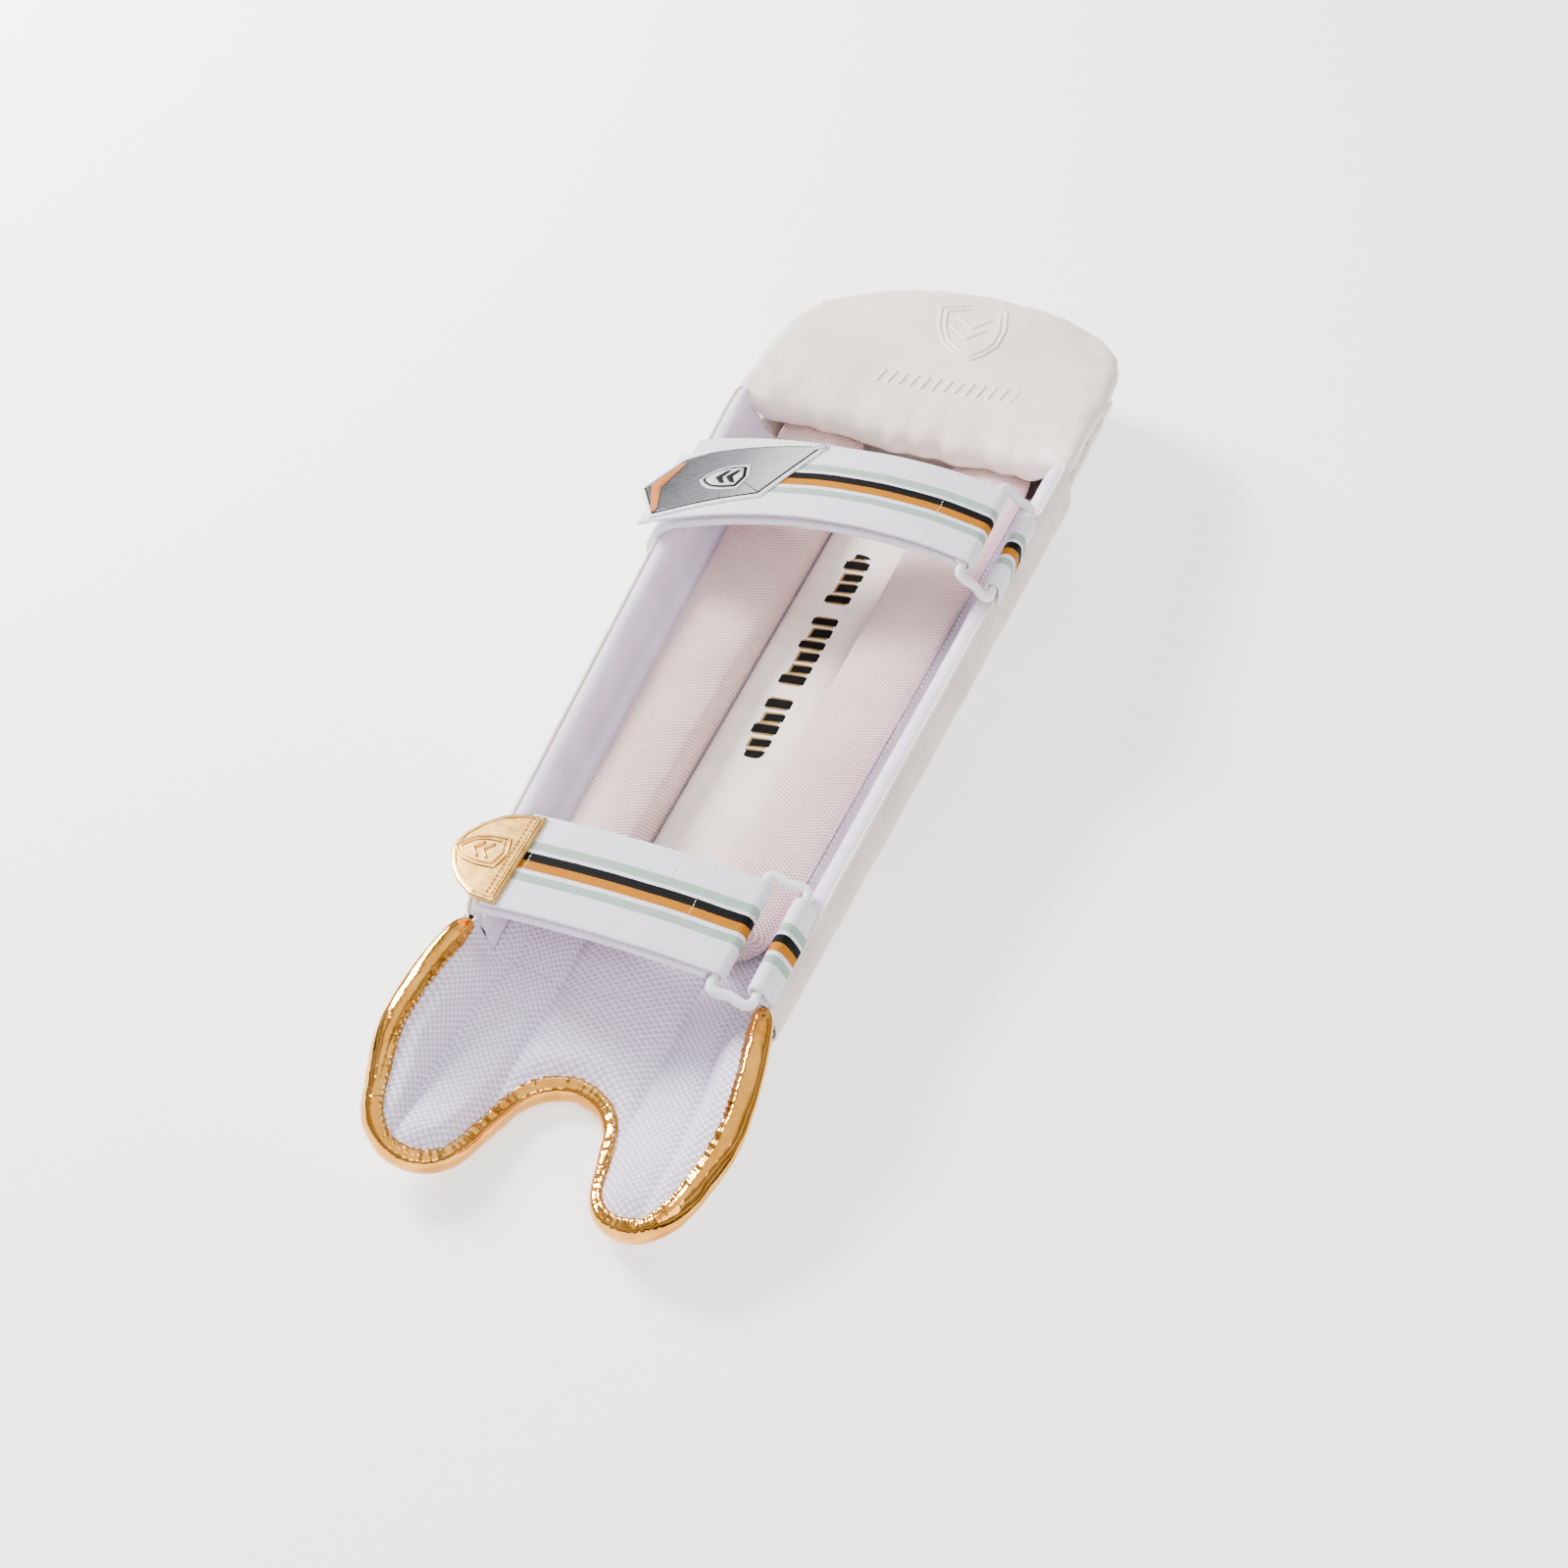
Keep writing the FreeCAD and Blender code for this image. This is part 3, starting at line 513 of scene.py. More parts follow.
def fuzzy(name, light, dark, scale=900, relief=0.5):
    """Loop pile, hook tape, felt or foam: a fine random nap."""
    f = Finish(name, light, 0.92, **{"Sheen Weight": 0.5, "Sheen Roughness": 0.5})
    nap = f.cells(scale)
    color = f.mix(f.ramp(nap, [(0.1, 0.0), (0.8, 0.55)]), light, dark)
    rough = f.cloudy(120, 3, 0.3, 0.7, 0.85, 0.98)
    fine = f.bump(nap, relief, 0.7)
    return f.finish(color, rough, f.bump(f.noise(70, 3), 0.6, 0.3, fine))


def plastic(name, light, dark, roughness=0.32):
    """Moulded plastic with flow marks and light scuffs."""
    f = Finish(name, light, roughness, **{"Subsurface Weight": 0.18, "Subsurface Scale": 0.002,
                                          "Subsurface Radius": (1.0, 1.0, 1.0)})
    color = f.mix(f.cloudy(60, 3, 0.35, 0.75), light, dark)
    scuffs = f.noise(420, 5)
    rough = f.ramp(scuffs, [(0.35, roughness - 0.06), (0.7, roughness + 0.14)])
    return f.finish(color, rough, f.bump(f.noise(150, 3), 0.12, 0.3))


def gold(name, light, dark, roughness=0.10, crumple=0.5):
    """Metallised film: mirror gold with soft dents."""
    f = Finish(name, light, roughness, Metallic=1.0)
    color = f.mix(f.cloudy(90, 3, 0.3, 0.7), light, dark)
    rough = f.cloudy(350, 4, 0.35, 0.75, roughness, roughness + 0.12)
    dents = f.bump(f.noise(170, 3), crumple, 0.5)
    return f.finish(color, rough, f.bump(f.noise(900, 2), 0.05, 0.3, dents))


def vinyl(name, light, dark, roughness=0.35, specular=0.3):
    """Printed vinyl with a fine calendered grain."""
    f = Finish(name, light, roughness, **{"Specular IOR Level": specular})
    color = f.mix(f.cloudy(200, 4, 0.3, 0.75), light, dark)
    rough = f.cloudy(500, 3, 0.3, 0.7, roughness - 0.05, roughness + 0.1)
    return f.finish(color, rough, f.bump(f.cells(1100), 0.03, 0.4))


def wood(name):
    """Split cane: pale fibres along its length."""
    f = Finish(name, rgb(214, 183, 128), 0.55)
    stretched = f.add("Mapping", {"Vector": f.place(), "Scale": (1.0, 0.04, 1.0)})
    fibres = f.noise(900, 4, stretched.outputs[0])
    color = f.mix(f.ramp(fibres, [(0.3, 0.0), (0.7, 1.0)]), rgb(222, 193, 140),
                  rgb(168, 128, 76))
    rough = f.ramp(fibres, [(0.3, 0.45), (0.7, 0.7)])
    return f.finish(color, rough, f.bump(fibres, 0.15, 0.6))


def label_print(name):
    """A fan of fine dark lines over a tone that darkens towards the label's end."""
    f = Finish(name, rgb(120, 120, 124), 0.3)
    u, v = f.split(f.cloth())
    fan = f.math("ARCTAN2", f.math("SUBTRACT", v, 30.0), f.math("SUBTRACT", u, 60.0))
    lines = f.math("SINE", f.math("MULTIPLY", fan, 260.0))
    fade = f.ramp(f.math("DIVIDE", f.math("SUBTRACT", u, 95.0), 90.0),
                  [(0.0, rgb(226, 226, 230)), (0.45, rgb(120, 120, 126)), (0.9, rgb(26, 26, 30))])
    toned = f.mix(f.ramp(lines, [(0.35, 0.0), (0.65, 0.75)]), fade, rgb(20, 20, 24))
    return f.finish(toned, f.cloudy(300, 3, 0.3, 0.7, 0.26, 0.4), f.bump(lines, 0.04, 0.4))


PALE, GREY = rgb(244, 240, 252), rgb(166, 186, 174)
STRIPES = [(0.0, PALE), (0.28, GREY), (0.365, PALE), (0.40, rgb(3, 3, 4)),
           (0.485, rgb(188, 116, 5)), (0.575, PALE), (0.62, GREY), (0.70, PALE)]

FACING = leather("white_facing_leather", rgb(240, 233, 226), rgb(220, 212, 203))
# The wings, the knee backing and the fold strip are the white facing leather made darker here:
# painted shade.
SHADED_SIDE = leather("side_leather_painted_shade", rgb(226, 211, 204), rgb(206, 190, 182), 0.42)
CUSHION = leather("cushion_leather", rgb(246, 234, 226), rgb(232, 217, 208), 0.40, 0.07)
WELT = leather("welt_leather", rgb(242, 230, 218), rgb(216, 200, 186), 0.42, 0.05)
LINING = woven("smooth_lining", rgb(240, 229, 247), rgb(218, 204, 226))
# Each mesh's hole colour is the layer below, darkened with painted shade.
SPACER = net("spacer_mesh", rgb(250, 230, 228), rgb(206, 134, 130), 2.1, 0.6, 1.5, 0.12,
             rgb(244, 216, 214))
AIR = net("air_mesh", rgb(246, 237, 252), rgb(204, 188, 218), 3.7, 1.0, 1.3, -0.2,
          rgb(238, 228, 247), 0.5)
SUEDE = suede("suede", rgb(250, 240, 233), rgb(232, 218, 210))
strap_low, strap_high = box("upper_strap_flap")
WEBBING = webbing("striped_webbing", strap_high[1] - strap_low[1], STRIPES)
PILE = fuzzy("loop_pile", rgb(244, 238, 250), rgb(206, 198, 216))
HOOK = fuzzy("hook_tape", rgb(236, 234, 240), rgb(170, 168, 178), 620, 0.8)
THREAD = woven("thread", rgb(246, 241, 236), rgb(218, 210, 202), 0.4, 0.6)
RING = plastic("white_plastic", rgb(244, 240, 244), rgb(226, 222, 230))
FOIL = gold("gold_foil", rgb(228, 164, 76), rgb(204, 136, 48), 0.05, 0.2)
TAB_GOLD = gold("moulded_gold", rgb(236, 190, 112), rgb(214, 160, 80), 0.27, 0.02)
BLACK = vinyl("black_vinyl", rgb(5, 5, 6), rgb(2, 2, 3), 0.5, 0.12)
INK = vinyl("black_ink", rgb(9, 9, 9), rgb(4, 4, 4), 0.7, 0.1)
SILVER = vinyl("silver_vinyl", rgb(206, 205, 208), rgb(176, 176, 182), 0.3)
WHITE = vinyl("white_vinyl", rgb(242, 240, 244), rgb(226, 224, 230), 0.35)
ORANGE = vinyl("orange_vinyl", rgb(184, 108, 40), rgb(166, 92, 30), 0.4, 0.2)
PRINT_GOLD = vinyl("print_gold", rgb(150, 118, 62), rgb(118, 90, 44), 0.55, 0.2)
HATCH = label_print("label_print")
WADDING = fuzzy("wadding", rgb(236, 232, 224), rgb(200, 194, 184), 300, 0.9)
CANE = wood("split_cane")

for node, material in (("shin_canes", CANE), ("cane_wadding", WADDING),
                       ("upper_strap_hook", HOOK), ("lower_strap_hook", HOOK),
                       ("upper_strap_anchor", PILE), ("lower_strap_anchor", PILE)):
    piece = frame["nodes"][node]
    piece.data.materials.clear()
    piece.data.materials.append(material)


def settle(piece, body=None, nodes=(), fold=None):
    """Rides a finished piece on a body, or, where it crosses a fold, bakes its place into its mesh;
    and hides the model's parts it stands for.
    """
    if fold:
        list(fold[:2])
        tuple(fold[2])
        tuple(fold[3])
        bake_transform(piece)
    else:
        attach(piece, body)
    if nodes:
        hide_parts(*nodes)


def wing_fold(side):
    """The two bodies and two points across a wing's fold, across the joint's own line."""
    body = "left_wing" if side < 0 else "right_wing"
    joint = JOINTS[body + "_wrap"]
    pivot, axis = Vector(joint["pos_m"]), Vector(joint["axis"])
    out = Vector((side * math.cos(math.radians(FOLD)), 0, math.sin(math.radians(FOLD))))
    out = (out - axis.normalized() * out.dot(axis.normalized())).normalized()
    reach = 9 * MM
    return "shin", body, pivot - out * reach, pivot + out * reach


ANKLE_FOLD = ("shin", "instep", (0, (ANKLE_Y + 1) * MM, 0), (0, (ANKLE_Y - 20) * MM, 0))
KNEE_FOLD = ("shin", "knee", (0, (KNEE_Y - 6) * MM, 0), (0, (KNEE_Y + 8) * MM, 0))

# ----------------------------------------------------------------------------- shin: face side

SEAM_ANGLE = 36.0
CANE_SEAMS = [-1 - SEAM_ANGLE / 100, -1.13, -19.5 / FLAT, -6.5 / FLAT,
              6.5 / FLAT, 19.5 / FLAT, 1.13, 1 + SEAM_ANGLE / 100]


def facing_depth(q, y):
    """Ribs over the canes, with a stitched groove between them."""
    place = around(q, y)
    depth = np.zeros(np.shape(place))
    for seam in CANE_SEAMS[1:-1]:
        gap = np.abs(place - around(seam, y))
        depth = np.maximum(depth, 1.7 * np.exp(-(gap / 1.6) ** 2))
    ends = np.minimum(y - ANKLE_Y, KNEE_Y - y)
    return depth + 1.6 * np.exp(-np.maximum(ends, 0) / 1.5)


qs = np.linspace(-1 - SEAM_ANGLE / 100, 1 + SEAM_ANGLE / 100, 190)
ys = np.linspace(ANKLE_Y + 0.3, KNEE_Y - 0.2, 150)
Q, Y = np.meshgrid(qs, ys)
depth = facing_depth(Q, Y)
skin = surface(Q, Y, depth)
ripple = soft_noise(skin, 34, 3.0) * 0.35
cloth = np.stack([around(Q, Y), Y], -1)
facing = shell("shin_facing", surface(Q, Y, depth + 0.3 + ripple * 0.6),
               surface(Q, Y, np.maximum(depth + 1.2, 1.9)), cloth, FACING)
settle(facing, "shin", ["shin_cover"])
seam_rows = []
for q in CANE_SEAMS[1:-1]:
    line = np.linspace(ANKLE_Y + 3, KNEE_Y - 3, 60)
    seam_rows.append((surface(q, line, 1.45), surface(q, line, 0.0) - surface(q, line, 4.0)))
settle(stitches("facing_stitches", seam_rows, THREAD, 4.0, 2.8), "shin")

# ------------------------------------------------------------------------------ shin: leg side

qs = np.linspace(-1.575, 1.575, 120)
ys = np.linspace(ANKLE_Y - 0.4, KNEE_Y - 1, 160)
Q, Y = np.meshgrid(qs, ys)
cloth = np.stack([around(Q, Y), Y], -1)

QUILT_FADE = (-172, -150)
CHANNELS = [-1.0, -0.62, -0.285, 0.285, 0.62, 1.0]


def rim_at(y):
    """Distance along the skin from the middle line to the edge of the trough."""
    return FLAT + bend_at(y) * np.radians(sweep_at(y))


def quilt(u, y):
    """Fullness from 0 on a seam to 1 in the middle of a channel."""
    p = u / rim_at(y)
    full = np.zeros(np.shape(p))
    for start, end in zip(CHANNELS[:-1], CHANNELS[1:]):
        within = np.clip((p - start) / (end - start), 0, 1) * 2 - 1
        full = np.maximum(full, np.clip(1 - within ** 2, 0, 1) ** 0.42)
    return full


def loft(u, y):
    """The depth of the quilted cloth: flatter at the sides where the ankle's seam pinches it."""
    angle = np.degrees(np.maximum(np.abs(u) - FLAT, 0) / bend_at(y))
    pinched = smooth(angle, 44, 57) * smooth(y, ANKLE_Y - 20, ANKLE_Y - 2)
    return 10.6 + 7.6 * quilt(u, y) * (1 - pinched)


quilted = loft(around(Q, Y), Y)
quilted = quilted + (SHIN_DEPTH - 0.2 - quilted) * smooth(Y, *QUILT_FADE)
lining = shell("shin_lining_cloth", surface(Q, Y, quilted), surface(Q, Y, quilted - 1.4), cloth,
               AIR)
settle(lining, "shin", ["shin_lining", "shin_foam"])


def rounded_loop(corners, step, passes=3):
    """A closed loop through corners, with them rounded off."""
    loop = resample(closed_up(np.asarray(corners, float)), step)[:-1]
    for _ in range(passes):
        loop = (np.roll(loop, 1, 0) + 2 * loop + np.roll(loop, -1, 0)) / 4
    return loop


def even_loop(loop, count):
    """The same closed loop with evenly spaced points."""
    closed = closed_up(loop)
    place = distances(closed)
    wanted = np.linspace(0, place[-1], count, endpoint=False)
    return np.stack([np.interp(wanted, place, closed[:, k]) for k in (0, 1)], -1)


BOLSTER_INNER, BOLSTER_LIP, BOLSTER_EDGE = 25.2, 6.0, 59.0
BOLSTER_TOP = SHIN_DEPTH + 24.0
TUCK = 32.0
LIP_FOLD = ("shin", "knee", (0, (KNEE_Y - 24) * MM, 0), (0, (KNEE_Y + 3) * MM, 0))
CUSHION_FOLD = ("shin", "knee", (0, (KNEE_Y - 22) * MM, 0), (0, (KNEE_Y + 42) * MM, 0))


def bolster_outline(y):
    """The section of the bolster: its bottom lies in the trough, and its top slopes outwards."""
    bottom = [(BOLSTER_INNER, SHIN_DEPTH), (FLAT, SHIN_DEPTH)]
    for angle in np.linspace(8, BOLSTER_EDGE, 10):
        x, _, z = at_angle(1, angle, y, SHIN_DEPTH)
        bottom.append((x, z))
    x, z = bottom[-1]
    crown = []
    for share in np.linspace(0, 1, 16):
        bow = 4 * share * (1 - share)
        rise = (z + BOLSTER_LIP) * (1 - share) + BOLSTER_TOP * share + bow * 4.2
        crown.append((x + (BOLSTER_INNER - x) * share, rise))
    return bottom + crown


def make_bolster(side, name):
    low, high = box(name + "_bolster_cover")
    start, end = low[1], high[1] + TUCK
    rings = []
    for y in np.linspace(start, end, 190):
        loop = rounded_loop(bolster_outline(y), 1.3, 5)
        middle = loop.mean(0)
        gap = min(y - start, end - y)
        shrink = 1 - 0.5 * math.exp(-gap / 3.2) - 0.12 * math.exp(-gap / 12)
        loop = middle + (loop - middle) * shrink
        flat = even_loop(loop, 96)
        rings.append(np.stack([side * flat[:, 0], np.full(len(flat), y), flat[:, 1]], -1))
    rings = np.array(rings)
    upper = smooth(rings[..., 2], 30, 42)
    dents = soft_noise(rings, 30, 5.0 + side) * 1.1 + soft_noise(rings, 11, 9.0 + side) * 0.35
    rings[..., 2] += dents * upper
    piece = tube(name + "_bolster", rings, SPACER)
    settle(piece, nodes=[name + "_bolster_cover", name + "_bolster_foam"],
           fold=LIP_FOLD)


for side, name in ((-1, "left"), (1, "right")):
    make_bolster(side, name)

low, high = box("centre_pad_cover")
CENTRE_TOP = high[2]
high[1] += TUCK


def centre_top(x, y):
    """The height of the soft middle strip."""
    half = high[0]
    ends = np.minimum(y - low[1], high[1] - y)
    dome = 1 - np.abs(x / half) ** 6
    return SHIN_DEPTH + 1.5 + (CENTRE_TOP - SHIN_DEPTH - 1.5) * np.clip(dome, 0, 1) ** 0.5 * (
        1 - np.exp(-np.maximum(ends, 0) / 4)) + 0.5 * np.cos(x / half * 1.4)


def centre_dents(points):
    return soft_noise(points, 28, 2.0) * 0.5


xs = high[0] * np.sin(np.linspace(-1, 1, 60) * math.pi / 2)
ys = np.linspace(low[1], high[1], 220)
X, Y = np.meshgrid(xs, ys)
Z = centre_top(X, Y)
top = np.stack([X, Y, Z], -1)
top[..., 2] += centre_dents(top) * smooth(Z, 20, 25)
bottom = np.stack([X, Y, np.full(X.shape, SHIN_DEPTH + 0.1)], -1)
centre = shell("centre_pad", top, bottom, np.stack([X, Y], -1), SUEDE)
settle(centre, nodes=["centre_pad_cover", "centre_pad_foam"],
       fold=LIP_FOLD)


def on_centre(points, rise):
    x, y = points[:, 0], points[:, 1]
    base = np.stack([x, y, centre_top(x, y)], -1)
    base[:, 2] += centre_dents(base) + rise
    return base


def print_bars(low, high):
    """A plain printed rhythm of tall and short bars, leaning a little, along the middle strip."""
    bars = []
    pitch, base, lean = 9.6, 7.6, 1.3
    tall, short = 16.0, 11.0
    for k in range(int((high[1] - low[1]) / pitch)):
        if k % 7 == 6:
            continue
        width = tall if k % 7 in (0, 3, 5) else short
        y = low[1] + 2 + pitch * k
        length = pitch - (3.4 if k % 2 else 4.4)
        bars.append([(base - width, y - lean), (base, y + lean), (base, y + length + lean),
                     (base - width, y + length - lean)])
    return bars


def grown(bar, amount):
    """A bar's outline with its corners moved outwards."""
    bar = np.array(bar)
    return bar + np.sign(bar - bar.mean(0)) * amount


low, high = box("centre_print")
bars = print_bars(low, high)
edges = plates("centre_print_edges", [grown(bar, 1.25) for bar in bars], on_centre, -0.2, 0.16,
               PRINT_GOLD, 0.7, 0.06)
inks = plates("centre_print_bars", bars, on_centre, 0.0, 0.32, INK, 0.7, 0.06)
settle(edges, "shin")
settle(inks, "shin", ["centre_print"])

# --------------------------------------------------------------------------------------- wings

TIP = WING_DEPTH / 2
WELT_TURN = 48.0
WING_LOW, WING_HIGH = ANKLE_Y + 0.4, KNEE_Y - 1.6


def tip_angle(y):
    return sweep_at(y) - math.degrees(1) * (TIP - 2.2) / bend_at(y)


def pinch(y):
    """How full the wing is: it closes towards its two ends."""
    ends = np.minimum(y - WING_LOW, WING_HIGH - y)
    return 1 - 0.72 * np.exp(-np.maximum(ends, 0) / 5)


def wing_tip(side, turn, y, inset):
    """A point of the wing's round edge: turn 0 is outside and 180 inside."""
    radius = (TIP - inset) * pinch(y)
    depth = TIP - radius * np.cos(np.radians(turn))
    angle = tip_angle(y) + np.degrees(radius * np.sin(np.radians(turn)) / bend_at(y))
    return at_angle(side, angle, y, depth)


def wing_outside(side, share, y, inset):
    angle = SEAM_ANGLE + (tip_angle(y) - SEAM_ANGLE) * share
    full = np.sin(math.pi * share) ** 0.7
    fade = 1 - (1 - pinch(y)) * smooth(share, 0.5, 1.0)
    belly = 1.4 if side < 0 else 5.0
    depth = (inset - belly * full) * fade + TIP * (1 - fade)
    return at_angle(side, angle, y, depth)


def wing_inside(side, share, y, inset):
    bottom = 44 + 14 * smooth(-y, 156, 178)
    angle = tip_angle(y) + (bottom - tip_angle(y)) * share
    depth = WING_DEPTH + (SHIN_DEPTH - 0.4 - WING_DEPTH) * smooth(-angle, -70, -52)
    depth = depth + (9.8 - depth) * smooth(-y, 158, 182) * smooth(share, 0.25, 0.7)
    full = np.sin(math.pi * np.clip(share * 1.3, 0, 1)) ** 0.8
    fade = 1 - (1 - pinch(y)) * (1 - smooth(share, 0.0, 0.5))
    depth = (depth - TIP + 1.0 * full - inset) * fade + TIP
    return at_angle(side, angle, y, depth)


def push(points, amount):
    """Moves a grid's points along its own normals."""
    normal = np.cross(np.gradient(points, axis=0), np.gradient(points, axis=1))
    normal /= np.linalg.norm(normal, axis=2)[..., None] + 1e-9
    return points + normal * amount[..., None]


def wing_shell(name, top, low, away, material):
    """A wing's skin between two grids, both moved along their normals."""
    top, low = push(top, away), push(low, away)
    steps = np.linalg.norm(np.diff(top, axis=1), axis=2)
    across = np.concatenate([np.zeros((len(top), 1)), np.cumsum(steps, 1)], 1)
    return shell(name, top, low, np.stack([across, top[..., 1]], -1), material)


def make_wing(side, name):
    ys = np.linspace(WING_LOW, WING_HIGH, 230)
    body = name + "_wing"
    fold = wing_fold(side)
    shares = np.linspace(0, 1, 70)
    turns = np.linspace(0, WELT_TURN, 9)[1:]
    S, Y1 = np.meshgrid(shares, ys)
    T, Y2 = np.meshgrid(turns, ys)
    top, low = [np.concatenate([wing_outside(side, S, Y1, inset),
                                wing_tip(side, T, Y2, inset)], 1) for inset in (0.0, 1.0)]
    soft = soft_noise(top, 42, 11.0 + side) * 0.7
    near = np.exp(-((top[..., 1] + 150) / 34) ** 2) * smooth(top[..., 2], 20, 45)
    crease = soft_noise(top * np.array([1.0, 2.2, 1.0]), 15, 20.0 + side) * near * 0.9
    fade = smooth(np.minimum(top[..., 1] - WING_LOW, WING_HIGH - top[..., 1]), 0, 12)
    away = side * (soft + crease) * fade * smooth(np.arange(top.shape[1]), 0, 8)
    settle(wing_shell(body + "_leather", top, low, away, SHADED_SIDE),
           nodes=[body + "_cover", body + "_foam"], fold=fold)

    turns = np.linspace(WELT_TURN, 180, 20)
    shares = np.linspace(0, 1, 70)[1:]
    T, Y1 = np.meshgrid(turns, ys)
    S, Y2 = np.meshgrid(shares, ys)
    top, low = [np.concatenate([wing_tip(side, T, Y1, inset),
                                wing_inside(side, S, Y2, inset)], 1) for inset in (0.0, 0.9)]
    soft = soft_noise(top, 30, 31.0 + side) * 0.8
    ends = np.exp(-np.maximum(WING_HIGH - top[..., 1], 0) / 16)
    gather = soft_noise(top * np.array([1.0, 0.35, 1.0]), 5.5, 40.0 + side) * ends * 1.3
    fade = smooth(np.minimum(top[..., 1] - WING_LOW, WING_HIGH - top[..., 1]), 0, 5)
    away = side * (soft + gather) * fade * smooth(np.arange(top.shape[1]), 0, 10)
    settle(wing_shell(body + "_lining_cloth", top, low, away, LINING), nodes=[body + "_lining"],
           fold=fold)

    line = np.linspace(WING_LOW + 0.5, WING_HIGH - 0.5, 220)
    path = wing_tip(side, WELT_TURN, line, -0.3)
    up = path - wing_tip(side, WELT_TURN, line, 3.0)
    settle(piping(body + "_welt", path, 1.25, up, WELT), fold=fold)
    path = wing_tip(side, WELT_TURN - 30, line, -0.12)
    seam = at_angle(side, SEAM_ANGLE + 1.5, line, 0.15)
    rows = [(path, path - wing_tip(side, WELT_TURN - 30, line, 3.0)),
            (seam, seam - at_angle(side, SEAM_ANGLE + 1.5, line, 3.0))]
    settle(stitches(body + "_stitches", rows, THREAD, 3.4, 2.4), fold=fold)


for side, name in ((-1, "left"), (1, "right")):
    make_wing(side, name)

# -------------------------------------------------------------------------------------- instep


def toe(u, y, depth):
    """A point of the instep, whose lobes curl up a little."""
    points = unrolled(u, y, depth)
    points[..., 2] += 7.5 * smooth(-points[..., 1], 262, 335)
    return points


INSTEP_TOP = ANKLE_Y - 0.8
NOTCH, NOTCH_Y, LOBE, LOBE_X = 24.0, -281.0, 28.0, 57.0


def half_outline():
    """The right half of the instep's edge, from the ankle to the top of the notch, unrolled."""
    edge = [(rim_at(y) - 9 * smooth(-y, 206, 300), y) for y in np.linspace(INSTEP_TOP, -272, 40)]
    plan = []
    for x, y, radius, turns in ((LOBE_X, TOE_Y + 3.5 + LOBE, LOBE, np.linspace(-8, -180, 60)),
                                (0, NOTCH_Y, NOTCH, np.linspace(0, 90, 30))):
        plan += [(x + radius * math.cos(turn), y + radius * math.sin(turn))
                 for turn in map(math.radians, turns)]
    bent = [(float(around(q_of_x(x, y), y)), y) for x, y in plan]
    return edge + bent


half = resample(half_outline(), 1.0)
for _ in range(60):
    half[1:-1] = (half[:-2] + 2 * half[1:-1] + half[2:]) / 4
OUTLINE = resample(np.concatenate([half, (half * np.array([-1, 1]))[-2::-1]]), 1.25)
SHARES = half[:, 0] / rim_at(half[:, 1])


def lowest(p):
    """The instep's lower edge at a share of the way from the middle to the side."""
    return np.interp(np.abs(p), SHARES[::-1], half[::-1, 1])


def from_edge(u, y):
    """Distance from the instep's edge, unrolled."""
    spots = np.stack([u, y], -1).reshape(-1, 1, 2)
    gaps = [np.linalg.norm(part - OUTLINE[None], axis=2).min(1)
            for part in np.array_split(spots, 60)]
    return np.concatenate(gaps).reshape(np.shape(u))


def instep_inner(u, y, edge):
    return 9.4 + (loft(u, y) - 9.4) * smooth(edge, 0, 17)


reach = 0.93 * math.pi / 2
ps = np.sin(np.linspace(-1, 1, 200) * reach) / math.sin(reach) * 0.985
P, T = np.meshgrid(ps, np.linspace(0, 1, 120))
Y = ANKLE_Y + (lowest(P) + 1.8 - ANKLE_Y) * T
U = P * rim_at(Y)
EDGE = from_edge(U, Y)
inner = instep_inner(U, Y, EDGE)
cloth = np.stack([U, Y], -1)
spots = toe(U, Y, inner)
soft = soft_noise(spots, 26, 7.0) * 0.6 + soft_noise(spots, 9, 8.0) * 0.2
lining = shell("instep_lining_cloth", toe(U, Y, inner + soft), toe(U, Y, inner - 1.6), cloth,
               AIR)
settle(lining, nodes=["instep_lining", "instep_foam", "instep_roll_centre",
                      "instep_roll_left_inner", "instep_roll_left_outer",
                      "instep_roll_right_inner", "instep_roll_right_outer"],
       fold=ANKLE_FOLD)
outer = 0.2 + 2.2 * (1 - smooth(EDGE, 0, 9)) + (1 - quilt(U, Y)) * 0.5
instep_face = shell("instep_facing", toe(U, Y, outer), toe(U, Y, outer + 1.3), cloth, FACING)
settle(instep_face, nodes=["instep_cover"], fold=ANKLE_FOLD)

step = unit(np.gradient(OUTLINE, axis=0))
inward = np.stack([step[:, 1], -step[:, 0]], -1)
if (inward[0] * np.array([-1, 0])).sum() < 0:
    inward = -inward
length = distances(OUTLINE)

ROLL, FLANGE, ROLL_OUT, CRIMP = 2.7, 6.3, 3.7, 3.3


